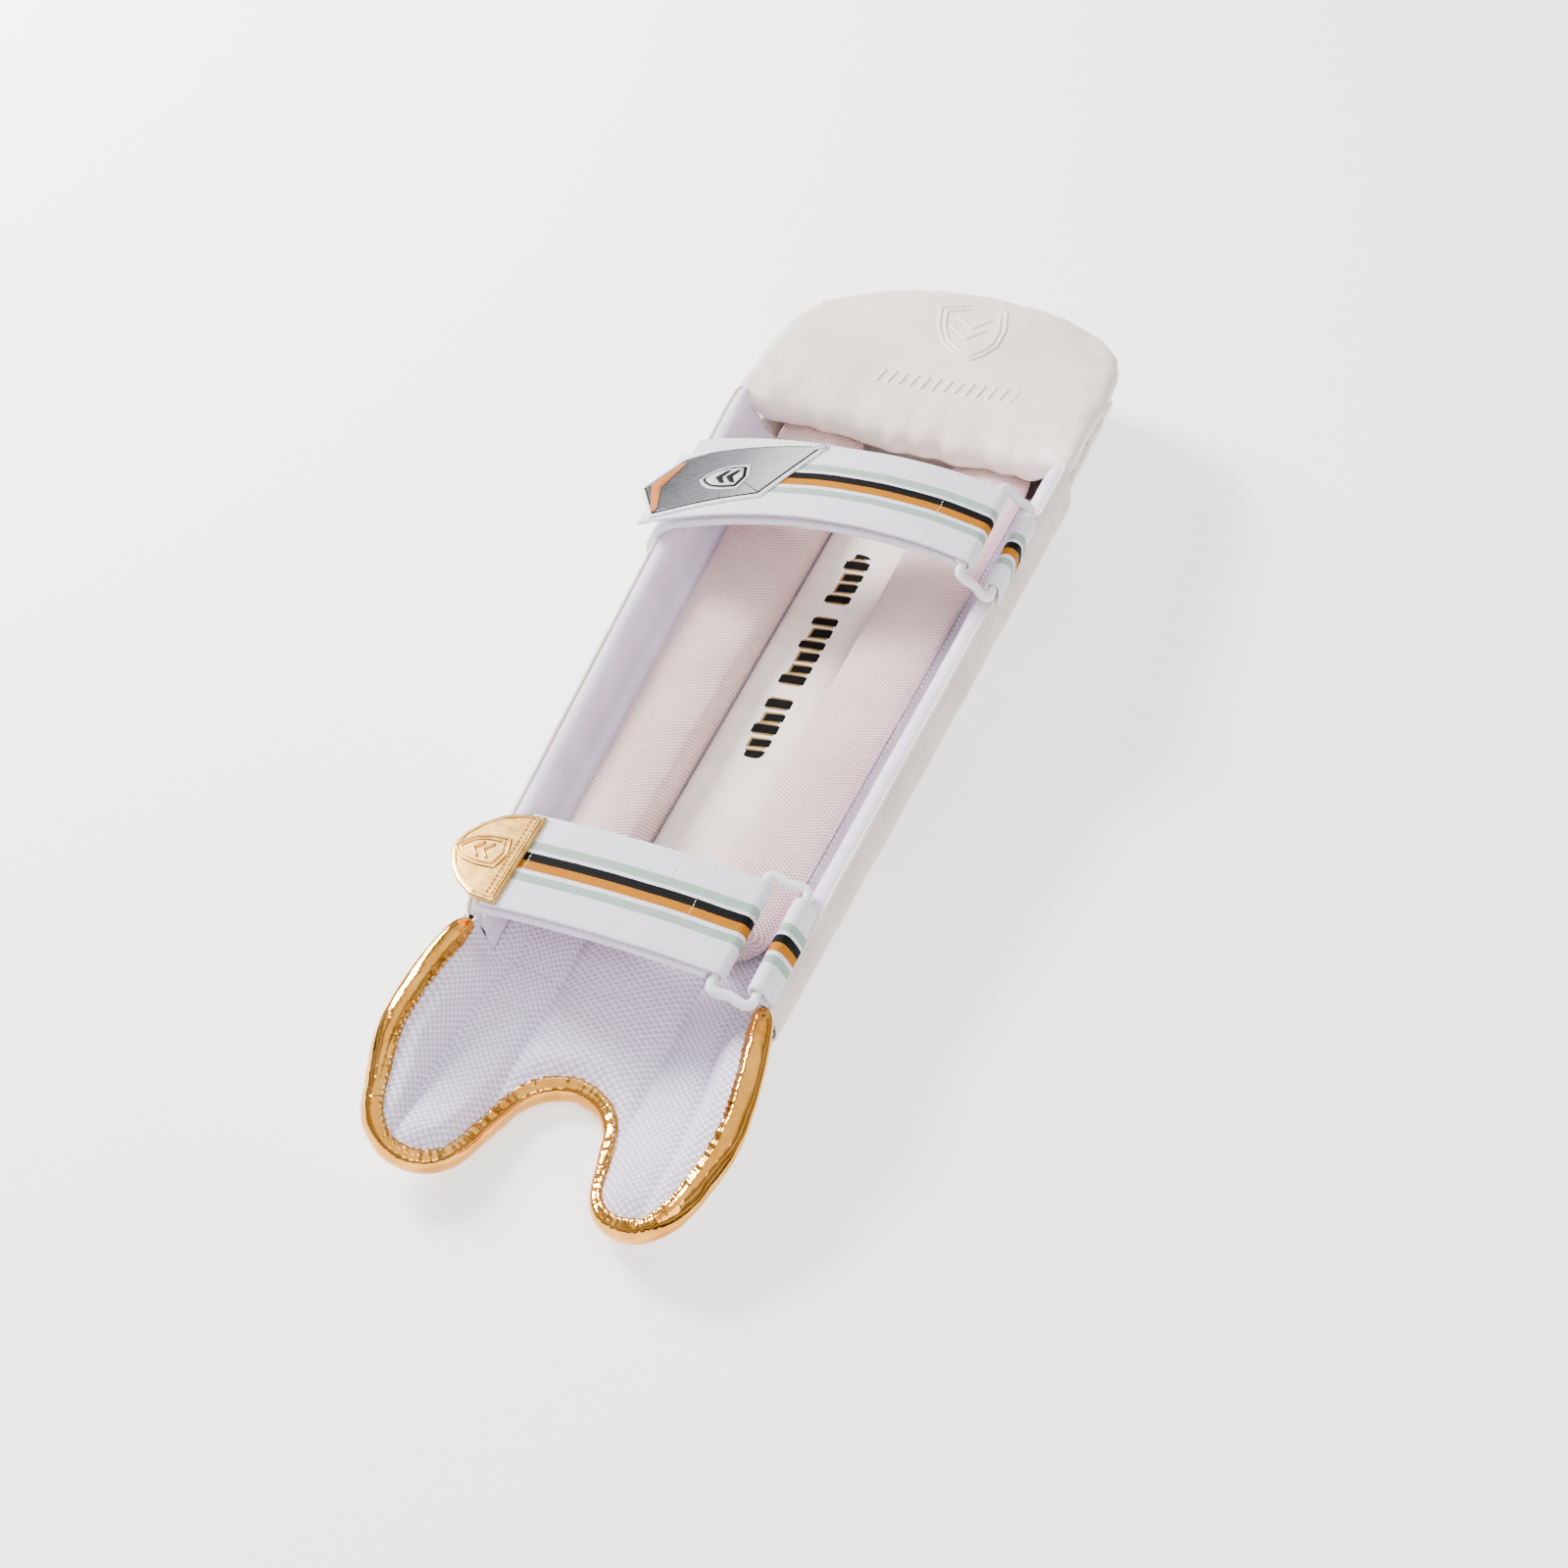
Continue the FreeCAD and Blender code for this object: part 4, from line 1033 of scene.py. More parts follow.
def binding_grid(offset):
    """The folded tape: a crimped flange on the leg side, a full roll and a flat face side."""
    rows = []
    for (u, y), (iu, iy), here in zip(OUTLINE, inward, length):
        phase = here / CRIMP + 1.6 * noise.noise(Vector((here / 7, 3.0, 0.0)))
        pleat = 2 * abs(math.cos(math.pi * phase)) - 1
        fray = 0.5 * noise.noise(Vector((here / 2.4, 5.0, 0.0)))
        spots = []
        for s in np.linspace(FLANGE, ROLL, 9):
            share = (s - ROLL) / (FLANGE - ROLL)
            reach = s + (fray + 0.35 * pleat) * share ** 2
            mesh = instep_inner(u + iu * reach, y + iy * reach, reach)
            dome = 1.7 * math.sqrt(max(0.0, 1 - (share * 0.96) ** 2))
            rise = 0.3 + dome + 0.75 * pleat * math.sin(math.pi * min(1, 0.1 + share * 0.95))
            spots.append((reach, float(mesh) + rise - offset))
        high = spots[-1][1] + offset
        for turn in np.radians(np.linspace(90, -90, 17)[1:-1]):
            dent = max(0, math.sin(turn))
            bulge = 0.3 * noise.noise(Vector((here / 10, 1.0, turn))) + 0.16 * pleat * dent
            out = (ROLL_OUT + bulge - offset) * math.cos(turn) ** 0.8
            tall = high / 2 - 0.2 + bulge - offset
            spots.append((ROLL - out, high / 2 + tall * math.sin(turn)))
        for s in np.linspace(ROLL, FLANGE, 6):
            spots.append((s, 0.25 + offset))
        spots = np.array(spots)
        squeeze = 1 - 0.85 * math.exp(-min(here, length[-1] - here) / 2.5)
        middle = np.array([ROLL, high / 2])
        spots = middle + (spots - middle) * squeeze
        rows.append(toe(u + iu * spots[:, 0], y + iy * spots[:, 0], spots[:, 1]))
    return np.array(rows)


skin = binding_grid(0.0)
columns = skin.shape[1]
cloth = np.stack(np.broadcast_arrays(np.arange(columns) * 1.0, length[:, None]), -1)
binding = shell("instep_binding_foil", skin, binding_grid(0.6), cloth, FOIL)
settle(binding, nodes=["instep_binding"], fold=ANKLE_FOLD)
reach = (FLANGE + ROLL) / 2 + 0.3
us, vs = (OUTLINE + inward * reach).T
depth = instep_inner(us, vs, reach) + 1.9
leg_row = toe(us, vs, depth)
face_row = toe(us, vs, 0.1)
rows = [(leg_row, toe(us, vs, depth + 2) - leg_row), (face_row, face_row - toe(us, vs, 2.0))]
settle(stitches("binding_stitches", rows, THREAD, 3.1, 2.1, 0.5, 0.35), fold=ANKLE_FOLD)

# ---------------------------------------------------------------------------------------- knee

ARCH, ARCH_Y = 101.0, CROWN_Y - 105.0
ARCH_RISE = CROWN_Y - ARCH_Y
SQUARE = (2.15, 3.0)
KNEE_RIM = 0.82
KNEE_LOW = box("knee_roll_1")[0][1]


def knee_rim_at(y):
    return rim_at(y) * KNEE_RIM


def arch_over(over, side):
    """The arch's height from 1 to 0 as it goes from its middle to a side: fuller on the right."""
    square = np.where(np.asarray(side) < 0, *SQUARE)
    return (1 - np.clip(over, 0, 1) ** square) ** (1 / square)


def crown_y(p, inset):
    """The top edge of the knee section at a share of the way to its side."""
    y = np.full(np.shape(p), CROWN_Y - 20.0)
    for _ in range(14):
        x = np.abs(unrolled(p * knee_rim_at(y), y, 0.0)[..., 0])
        reach = (ARCH_RISE - inset) * arch_over(x / (ARCH - inset), p)
        y = (y + ARCH_Y + reach) / 2
    return y


def knee_plan(p, t, low, inset):
    """Places across and along the knee section, unrolled."""
    y = low + (crown_y(p, inset) - low) * t
    return p * knee_rim_at(y), y


ROUND = 9
turns = np.linspace(0, 2 * math.pi, 44, endpoint=False)
cos, sin = np.cos(turns), np.sin(turns)
for number in (1, 2, 3):
    low, high = box(f"knee_roll_{number}")
    middle, reach = (low[1] + high[1]) / 2, (high[1] - low[1]) / 2 + 0.7
    rim = float(knee_rim_at(middle)) + 0.5
    us = np.concatenate([-rim + ROUND * (1 - np.cos(np.linspace(0, math.pi / 2, 9)))[:-1],
                         np.linspace(-rim + ROUND, rim - ROUND, 150),
                         rim - ROUND * (1 - np.cos(np.linspace(math.pi / 2, 0, 9)))[1:]])
    rings = []
    for u in us:
        past = max(0.0, (abs(u) - rim + ROUND) / ROUND)
        near = min(1.0, math.sqrt(max(0.0, 1 - past ** 2)) + 0.12)
        y = middle + reach * (0.55 + 0.45 * near) * np.sign(cos) * np.abs(cos) ** 0.55
        depth = 2.9 - 3.4 * near * np.sign(sin) * np.abs(sin) ** 0.75
        rings.append(unrolled(u, y, np.clip(depth, -0.2, 5.6)))
    rings = np.array(rings)
    rings += (soft_noise(rings, 22, 50.0 + number) * 0.35)[..., None] * np.array([0, 0.6, 0.6])
    roll = tube(f"knee_roll_{number}_leather", rings, FACING)
    settle(roll, "knee", [f"knee_roll_{number}"])

low_y = box("top_panel")[0][1]
P, T = np.meshgrid(np.linspace(-1, 1, 170), np.linspace(0, 1, 60))
U, Y = knee_plan(P, T, low_y + 0.4, 0.4)
gap = np.minimum.reduce([(1 - np.abs(P)) * knee_rim_at(Y), (crown_y(P, 0.4) - Y), Y - low_y])
round_off = 2.6 * np.exp(-np.maximum(gap, 0) / 2.2)
panel = shell("top_panel_leather", unrolled(U, Y, round_off + 0.15),
              unrolled(U, Y, 5.4 - round_off), np.stack([U, Y], -1), FACING)
settle(panel, "knee", ["top_panel"])

P, T = np.meshgrid(np.linspace(-1, 1, 190), np.linspace(0, 1, 110))
U, Y = knee_plan(P, T, KNEE_LOW + 0.2, 0.8)
gap = np.minimum((1 - np.abs(P)) * knee_rim_at(Y), crown_y(P, 0.8) - Y)
round_off = 2.4 * np.exp(-np.maximum(gap, 0) / 2.0)
backing = shell("knee_backing", unrolled(U, Y, KNEE_DEPTH - round_off),
                unrolled(U, Y, 6.1 + round_off * 0.4), np.stack([U, Y], -1), SHADED_SIDE)
settle(backing, "knee", ["knee_cover", "knee_foam"])


def knee_rim(depth, inset):
    """The edge of the knee section, from its lower right corner round to the lower left."""
    halves = []
    for side in (1, -1):
        ys = np.linspace(KNEE_LOW + 1, float(crown_y(np.array(1.0 * side), inset)), 60)
        edge = np.stack([side * (knee_rim_at(ys) - inset), ys], -1)
        p = side * np.sin(np.linspace(math.pi / 2, 0, 120))
        tops = crown_y(p, inset)
        arch = np.stack([p * (knee_rim_at(tops) - inset), tops], -1)
        halves.append(np.concatenate([edge, arch[1:]]))
    whole = resample(np.concatenate([halves[0], halves[1][-2::-1]]), 1.5)
    for _ in range(12):
        whole[1:-1] = (whole[:-2] + 2 * whole[1:-1] + whole[2:]) / 4
    path = unrolled(whole[:, 0], whole[:, 1], depth)
    inner = unrolled(whole[:, 0], whole[:, 1], depth + 3)
    return path, inner - path


path, up = knee_rim(KNEE_DEPTH - 1.0, 0.4)
settle(piping("knee_welt_cord", path, 1.9, up, WELT), "knee", ["knee_welt"])
path, up = knee_rim(6.2, 0.2)
settle(piping("knee_edge_cord", path, 1.3, up, WELT), "knee")
path, up = knee_rim(KNEE_DEPTH + 0.1, 4.2)
settle(stitches("knee_edge_stitches", [(path, up)], THREAD, 2.6, 1.9, 0.5, 0.3), "knee")

# A strip of leather inside the pad joins the shin and the knee where they fold.
P, T = np.meshgrid(np.linspace(-0.96, 0.96, 120), np.linspace(0, 1, 16))
Y = KNEE_Y - 9 + 20 * T
U = P * knee_rim_at(Y)
strip = shell("knee_fold_leather", unrolled(U, Y, 3.4 + 1.2 * np.sin(math.pi * T)),
              unrolled(U, Y, 4.6 + 1.2 * np.sin(math.pi * T)), np.stack([U, Y], -1), SHADED_SIDE)
settle(strip, fold=KNEE_FOLD)

OVERHANG, LAP = 2.5, 17.0
LIP_Y = KNEE_LOW + 0.5
CUSHION_MIDDLE = (0.0, 250.0)
CREST, CUSHION_LEAST = 66.0, 16
VOXEL, PRESSURE, CAP, FRAMES = 4.0, 4.0, 5.0, 20


def side_limit(y, side):
    """Half the cushion's width: it laps over the section's edge and follows its arch."""
    edge = np.abs(unrolled(knee_rim_at(y), y, KNEE_DEPTH)[..., 0]) + LAP
    over = np.clip((y - ARCH_Y) / (ARCH_RISE + OVERHANG), 0, 1)
    arch = (ARCH + OVERHANG) * arch_over(over, side)
    share = np.clip(0.5 + (arch - edge) / 20, 0, 1)
    return arch + (edge - arch) * share - 5 * share * (1 - share)


def cushion_outline():
    ys = LIP_Y + (CROWN_Y + OVERHANG - LIP_Y) * np.sin(np.linspace(0, math.pi / 2, 110))
    halves = [np.stack([side * side_limit(ys, side), ys], -1) for side in (1, -1)]
    return rounded_loop(np.concatenate([halves[0], halves[1][-2::-1]]), 2.0, 9)


def cushion_mesh():
    """A thick pad that fills the knee section: round at its rim, and hanging over at its lip."""
    outline = cushion_outline()
    middle = np.array(CUSHION_MIDDLE)
    near_rim = 1 - 0.2 * np.linspace(1, 0, 18)[1:] ** 2
    radii = np.concatenate([np.linspace(0.02, 0.80, 22), near_rim])
    top, low = [], []
    for share in radii:
        x, y = (middle + (outline - middle) * share).T
        under = unrolled(around(q_of_x(x, y, KNEE_DEPTH + 1), y), y, KNEE_DEPTH + 1.0)[:, 2]
        rim = unrolled(knee_rim_at(y), y, 0.0)[:, 2] + 3.0
        edge = np.abs(unrolled(knee_rim_at(y), y, KNEE_DEPTH)[:, 0])
        under = np.maximum(under, rim * smooth(np.abs(x) - edge, -3, 1))
        lifted = BOLSTER_TOP + 1.5 + 4.5 * np.clip(np.abs(x) / 75, 0, 1) ** 2
        under = np.maximum(under, lifted * (1 - smooth(y, 209, 221)))
        crest = CREST + 9.0 * np.clip(np.abs(x) / 95, 0, 1) ** 2 * (1 - smooth(y, 200, 310))
        crest += 3.0 * np.exp(-((y - 268) / 50) ** 2) * (1 - (x / 106) ** 2)
        under = np.minimum(under, crest - CUSHION_LEAST)
        seam = under + (crest - under) * 0.5
        top.append(np.stack([x, y, seam + (crest - seam) * (1 - share ** 9) ** (1 / 2.8)], -1))
        drop = seam + (under - seam) * (1 - share ** 12) ** 0.5
        low.append(np.stack([x, y, np.maximum(drop, under)], -1))
    points = np.concatenate([*low, *top[-2::-1]])
    columns, count = len(outline), len(radii)
    faces = grid_faces(2 * count - 1, columns, closed=True)
    faces += end_faces(2 * count - 1, columns)
    near = smooth(-points[:, 1], -222, -KNEE_LOW)
    middle_share = np.clip(1 - (points[:, 0] / 92) ** 2, 0, 1)
    hang = 6.0 - 4.5 * middle_share + 5.0 * smooth(-points[:, 0], 55, 85)
    points[:, 1] -= hang * near
    points[:, 2] -= 3.0 * smooth(points[:, 2], 50, 64) * near ** 1.5 * middle_share ** 0.8
    return points, faces


def modify(piece, kind, **settings):
    change = piece.modifiers.new(kind, kind)
    for key, value in settings.items():
        setattr(change, key, value)
    apply_all(piece)


def apply_all(piece):
    """Replaces a piece's mesh by the outcome of its modifiers."""
    bpy.context.view_layer.update()
    graph = bpy.context.evaluated_depsgraph_get()
    mesh = bpy.data.meshes.new_from_object(piece.evaluated_get(graph))
    piece.modifiers.clear()
    old = piece.data
    piece.data = mesh
    bpy.data.meshes.remove(old)
    piece.data.name = piece.name


def vertex_data(piece, key):
    data = np.zeros(len(piece.data.vertices) * 3, np.float32)
    piece.data.vertices.foreach_get(key, data)
    return data.reshape(-1, 3).astype(float)


def get_points(piece):
    return vertex_data(piece, "co") / MM


def set_points(piece, points):
    piece.data.vertices.foreach_set("co", (points * MM).astype(np.float32).ravel())
    piece.data.update()


def swell(piece, held):
    """Cloth under pressure for some frames, with each point's travel capped."""
    start = get_points(piece)
    group = piece.vertex_groups.new(name="held")
    group.add(np.nonzero(held)[0].tolist(), 1.0, "REPLACE")
    settings = piece.modifiers.new("cloth", "CLOTH").settings
    settings.quality = 5
    settings.mass = 0.3
    settings.tension_stiffness = settings.compression_stiffness = 18
    settings.shear_stiffness = 8
    settings.bending_stiffness = 0.6
    settings.use_pressure = True
    settings.uniform_pressure_force = PRESSURE
    settings.effector_weights.gravity = 0
    settings.vertex_group_mass = "held"
    for number in range(1, FRAMES + 1):
        bpy.context.scene.frame_set(number)
    apply_all(piece)
    moved = get_points(piece) - start
    piece.vertex_groups.clear()
    bpy.context.scene.frame_set(1)
    size = np.linalg.norm(moved, axis=1)
    share = np.minimum(1, CAP / np.maximum(size, 1e-6))
    set_points(piece, start + moved * share[:, None])


def near_path(points, path):
    """The distance in plan from each point to a path."""
    return np.concatenate([np.linalg.norm(part[:, None, :2] - path[None, :, :2], axis=2).min(1)
                           for part in np.array_split(points, 200)])


def shield(middle, width, length, lean):
    """A plain pointed shield in plan."""
    half = [(0, 0.5), (0.30, 0.44), (0.5, 0.40), (0.50, 0.05), (0.40, -0.22), (0.2, -0.40),
            (0, -0.5)]
    loop = half + [(-x, y) for x, y in half[-2:0:-1]]
    loop = np.array(loop + loop[:1]) * np.array([width, length])
    turn = math.radians(lean)
    spin = np.array([[math.cos(turn), -math.sin(turn)], [math.sin(turn), math.cos(turn)]])
    return resample(loop @ spin.T + np.array(middle), 0.8)


points, faces = cushion_mesh()
cushion = make("knee_cushion", points, faces, CUSHION)
modify(cushion, "REMESH", mode="VOXEL", voxel_size=VOXEL * MM)
modify(cushion, "SMOOTH", factor=0.5, iterations=10)
if not cushion.data.materials:
    cushion.data.materials.append(CUSHION)


def held_points(points):
    """The cushion's underside, and its rim but for the lip."""
    rim = near_path(points, cushion_outline()) < 7
    return (points[:, 2] < 30) | rim & ((points[:, 1] > 200) | (np.abs(points[:, 0]) > 72))


swell(cushion, held_points(get_points(cushion)))
modify(cushion, "SUBSURF", levels=2, render_levels=2)


def refine(piece, wanted):
    """Divides the faces of a region once more, so that it can hold a fine emboss."""
    work = bmesh.new()
    work.from_mesh(piece.data)
    chosen = [edge for edge in work.edges if all(wanted(v.co / MM) for v in edge.verts)]
    bmesh.ops.subdivide_edges(work, edges=chosen, cuts=2, use_grid_fill=True)
    bmesh.ops.triangulate(work, faces=[face for face in work.faces if len(face.verts) > 4])
    work.to_mesh(piece.data)
    work.free()


EMBLEM = np.array([8.0, 279.0])
refine(cushion, lambda co: co.z > 50 and abs(co.x - EMBLEM[0]) < 42 and 216 < co.y < 314)
points = get_points(cushion)
normals = vertex_data(cushion, "normal")
upper = smooth(points[:, 2], 30, 50)
lip = np.exp(-np.maximum(points[:, 1] - 184, 0) / 20)
folds = soft_noise(points * np.array([1.0, 0.28, 0.5]), 13, 60.0) * lip * 2.8
rim = soft_noise(points * np.array([1.0, 1.0, 0.4]), 9, 61.0) * 0.5
rim *= smooth(np.hypot(points[:, 0], points[:, 1] - ARCH_Y), 80, 100)
bumps = soft_noise(points, 38, 62.0) * 1.3 + folds + rim
lines = [shield(EMBLEM, 38.0, 56.0, 15.0), shield(EMBLEM, 31.0, 47.0, 15.0)]
for drop in (3.0, -8.0):
    tip = EMBLEM + np.array([-1.0, drop])
    lines.append(resample([tip + (-11, 9), tip, tip + (8, 12)], 0.8))
for k in range(13):
    foot = np.array([-28.0 + 6.4 * k, 219.0 + 0.5 * k])
    lines.append(resample([foot, foot + (2.0, 9.0)], 0.8))
raised = np.zeros(len(points))
close = (points[:, 2] > 50) & (np.abs(points[:, 0] - 8) < 48) & (points[:, 1] > 212) & (
    points[:, 1] < 318)
spots = points[close]
for path_part in lines:
    gap = near_path(spots, path_part)
    raised[close] = np.maximum(raised[close], np.exp(-(gap / 0.85) ** 4) * 0.75)
points = points + normals * (bumps * upper + raised)[:, None]
set_points(cushion, points)
cushion.data.polygons.foreach_set("use_smooth", [True] * len(cushion.data.polygons))
settle(cushion, None, ["knee_cushion_cover", "knee_cushion_foam"],
       CUSHION_FOLD)

# -------------------------------------------------------------------------------------- straps

WRAP = 3.6
STITCH_RISE = 4.68


class Strap:
    """A strap over the trough: it arches from a ring at the right wing to the left."""

    def __init__(self, name, tilt, bend, drift):
        self.name = name
        peel, pivot = JOINTS[name + "_strap_peel"], JOINTS[name + "_ring_pivot"]
        self.bar = np.array(peel["pos_m"]) / MM
        self.held = np.array(pivot["pos_m"]) / MM
        self.tilt, self.bend, self.drift = tilt, bend, drift
        turn = math.radians(tilt)
        self.centre = self.bar[[0, 2]] - bend * np.array([math.sin(turn), math.cos(turn)])
        low, high = box(name + "_strap_flap")
        self.low, self.high = low[1], high[1]

    def spot(self, run, v, rise):
        """A point at a run to the left of the bar, a distance v below the upper edge."""
        run, v, rise = np.broadcast_arrays(np.asarray(run, float), v, rise)
        turn = math.radians(self.tilt) - run / self.bend
        radius = self.bend + rise
        y = self.high - v - self.drift * np.maximum(run, 0) ** 2
        return np.stack([self.centre[0] + radius * np.sin(turn), y,
                         self.centre[1] + radius * np.cos(turn)], -1)

    def on(self, points, rise):
        """Points of the strap's plan, each a run and a distance below the upper edge."""
        return self.spot(points[:, 0], points[:, 1], rise)

    def section(self, runs, rise):
        """The strap's curve in the x and z plane."""
        return self.spot(runs, 0.0, rise)[:, [0, 2]]

    def sag(self, path):
        """How far the strap drifts towards the ankle along a curve of its section."""
        return -self.drift * np.maximum(self.bar[0] - path[:, 0], 0) ** 2


def band(name, path, low, high, thick, material, sag=None):
    """Webbing along a path in the x and z plane, between two places along the leg."""
    path = resample(path, 1.2)
    count = len(path)
    step = unit(np.gradient(path, axis=0))
    normal = np.stack([-step[:, 1], step[:, 0]], -1)
    length = distances(path)
    width = high - low
    vs = width * (1 - np.cos(np.linspace(0, math.pi, 50))) / 2
    shift = sag(path) if sag else np.zeros(count)
    places = np.stack([length / 24, np.full(count, high / 10), np.zeros(count)], -1)
    y = high - vs[None, :] + shift[:, None] + soft_noise(places, 1.0)[:, None] * 0.5
    slim = 1 - 0.45 * np.exp(-np.minimum(vs, width - vs) / 0.5)
    grids = []
    for sign in (1, -1):
        away = sign * thick / 2 * slim
        x = path[:, 0, None] + normal[:, 0, None] * away
        z = path[:, 1, None] + normal[:, 1, None] * away
        grids.append(np.stack([x, y, z], -1))
    cloth = np.stack(np.broadcast_arrays(length[:, None], vs[None, :]), -1)
    return shell(name, grids[0], grids[1], cloth, material)


def make_straps(strap, flap_end, tail_turn, tail_length):
    name = strap.name
    bar = strap.bar[[0, 2]]
    turn = math.radians(strap.tilt)
    up = np.array([math.sin(turn), math.cos(turn)])
    right = np.array([math.cos(turn), -math.sin(turn)])
    over = strap.section(np.linspace(flap_end, 0, 160), WRAP)
    turns = np.radians(np.linspace(0, 180, 24))[1:]
    bend = [bar + WRAP * (np.cos(t) * up + np.sin(t) * right) for t in turns]
    flap = band(name + "_strap_webbing", np.concatenate([over, bend]), strap.low, strap.high, 2.1,
                WEBBING, strap.sag)
    settle(flap, name + "_strap", [name + "_strap_flap"])

    middle = (strap.bar + strap.held) / 2
    lean = strap.held - strap.bar
    lean /= np.linalg.norm(lean)
    lift = np.array([-lean[2], 0, lean[0]])
    lift = lift if lift[2] > 0 else -lift
    y_mid, pitch = (strap.low + strap.high) / 2, 10.0
    quarter = [(pitch, 0), (pitch - 0.2, 12), (pitch, 26), (pitch + 0.5, 31), (pitch + 0.9, 34),
               (pitch - 0.2, 37.2), (pitch - 4.2, 37.8), (pitch - 8, 36.2), (0, 35.6)]
    loop = quarter + [(-a, b) for a, b in quarter[-2::-1]]
    loop += [(-a, -b) for a, b in quarter[1:]] + [(a, -b) for a, b in quarter[-2:0:-1]]
    flat = rounded_loop(loop, 1.1, 7)
    points = middle[None] + flat[:, :1] * lean + flat[:, 1:] * np.array([0, 1, 0])
    points[:, 1] += y_mid - middle[1]
    _, across, rise = frames_along(points, lift, True)
    turns = np.linspace(0, 2 * math.pi, 18, endpoint=False)
    c, s = [np.sign(wave) * np.abs(wave) ** 0.75 for wave in (np.cos(turns), np.sin(turns))]
    fat = 1.0 + 0.18 * smooth(np.abs(flat[:, 1]), 30, 37)
    rings = [p + size * (2.05 * c[:, None] * a + 1.8 * s[:, None] * u)
             for p, a, u, size in zip(points, across, rise, fat)]
    ring = tube(name + "_ring_moulding", rings, RING, closed=True)
    settle(ring, name + "_ring", [name + "_ring"])

    held = strap.held[[0, 2]]
    lean_turn = math.radians(tail_turn)
    ahead = np.array([math.cos(lean_turn), -math.sin(lean_turn)])
    side = np.array([math.sin(lean_turn), math.cos(lean_turn)])

    def tail(share, way):
        return held + ahead * share * tail_length + way * side * (1.3 + 2.3 * (1 - share ** 1.6))

    path = [tail(share, 1) for share in np.linspace(1.0, 0.1, 10)]
    path += [held + WRAP * (math.cos(t) * side - math.sin(t) * ahead)
             for t in np.radians(np.linspace(0, 180, 20))]
    path += [tail(share, -1) for share in np.linspace(0.1, 1.0, 10)]
    keeper = band(name + "_keeper_webbing", path, strap.low + 1, strap.high - 1, 2.1, WEBBING)
    settle(keeper, "right_wing", [name + "_keeper"])


def stitch_row(strap, run, start, end):
    """A row of stitches across a strap, with its up direction."""
    vs = np.linspace(start, end, 30)
    path = strap.spot(run + 0.25 * np.sin(vs), vs, STITCH_RISE)
    return path, path - strap.spot(run, vs, STITCH_RISE - 3)


upper = Strap("upper", 12.0, 300.0, 0.0006)
lower = Strap("lower", 5.0, 600.0, 0.0)
make_straps(upper, 176.0, 80.0, 10.0)
make_straps(lower, 118.0, 42.0, 9.0)
for strap in (upper, lower):
    rows = [stitch_row(strap, 24.0, 1, 58), stitch_row(strap, 40.0, 4, 22)]
    settle(stitches(strap.name + "_strap_stitches", rows, THREAD, 2.4, 1.9, 0.45, 0.25),
           strap.name + "_strap")


BASE_START, BASE_RISE = 5.2, -2.2


def base_band(strap, end, wrap=()):
    """The lower run of a strap, from its ring to the left wing, with loop pile on top."""
    path = [*strap.section(np.linspace(BASE_START, end, 150), BASE_RISE), *wrap]
    piece = band(strap.name + "_strap_loop_band", path, strap.low + 0.5, strap.high - 0.5, 4.4,
                 PILE, strap.sag)
    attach(piece, "shin")
    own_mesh(piece)
    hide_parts(strap.name + "_strap_base", strap.name + "_strap_pile")


end = upper.section(np.array([160.0]), BASE_RISE)[0]
base_band(upper, 160.0, end + np.array([(-5, -3.2), (-9, -7.5), (-11.5, -13), (-12.4, -20)]))
base_band(lower, 122.0)

# ------------------------------------------------------------------------- label and gold tab

TOP_FACE = 4.8


def on_upper(points, rise):
    return upper.on(points, TOP_FACE + rise)


def on_lower(points, rise):
    return lower.on(points, TOP_FACE + rise)


LABEL = [(187.5, 28), (171, 6), (156, 2.5), (93, 0.5), (114, 47), (160, 57), (170, 58.5)]


def shrink(outline, amount):
    """An outline moved inwards."""
    loop = resample(closed_up(np.array(outline, float)), 1.0)[:-1]
    along = unit(np.roll(loop, -1, 0) - np.roll(loop, 1, 0))
    inward = np.stack([along[:, 1], -along[:, 0]], -1)
    if ((loop.mean(0) - loop) * inward).sum() < 0:
        inward = -inward
    return loop + inward * amount


CHEVRON = [(181, 27), (170.5, 12.5), (166.5, 11), (177, 27.5), (167.5, 52.5), (170, 55)]
MARK = [(131, 25.5), (135.5, 31), (131, 36.5), (133.6, 36.5), (138.1, 31), (133.6, 25.5)]


def badge(middle, width, length):
    """A shield that points along the strap."""
    return shield(middle, width, length, 90.0)[:-1]


label_parts = [("border", LABEL, -0.2, 1.0, WHITE, 1.5, 0.35),
               ("outline", shrink(LABEL, 2.2), 0.8, 1.15, BLACK, 1.5, 0.1),
               ("field", shrink(LABEL, 3.2), 1.0, 1.30, HATCH, 1.5, 0.1),
               ("chevron", CHEVRON, 1.2, 1.55, ORANGE, 1.2, 0.1),
               ("shield_1", badge((139.0, 31.0), 21, 27), 1.2, 1.7, SILVER, 1.0, 0.12),
               ("shield_2", badge((139.0, 31.0), 17.4, 23.4), 1.2, 1.95, BLACK, 1.0, 0.12),
               ("shield_3", badge((139.0, 31.0), 14.4, 20.2), 1.2, 2.1, SILVER, 1.0, 0.12),
               ("mark_1", MARK, 1.9, 2.35, BLACK, 0.8, 0.08),
               ("mark_2", np.array(MARK) + (5.5, 0), 1.9, 2.35, BLACK, 0.8, 0.08)]
for name, outline, low, high, material, step, round_edge in label_parts:
    part = plate("upper_label_" + name, outline, on_upper, low, high, material, step, round_edge)
    settle(part, "upper_strap", ["upper_strap_label"] if name == "border" else ())
edge = closed_up(shrink(LABEL, 1.1))
path = on_upper(edge, 1.0)
settle(stitches("upper_label_stitches", [(path, path - on_upper(edge, -2.0))], THREAD, 2.6, 1.9,
                0.45, 0.25), "upper_strap")

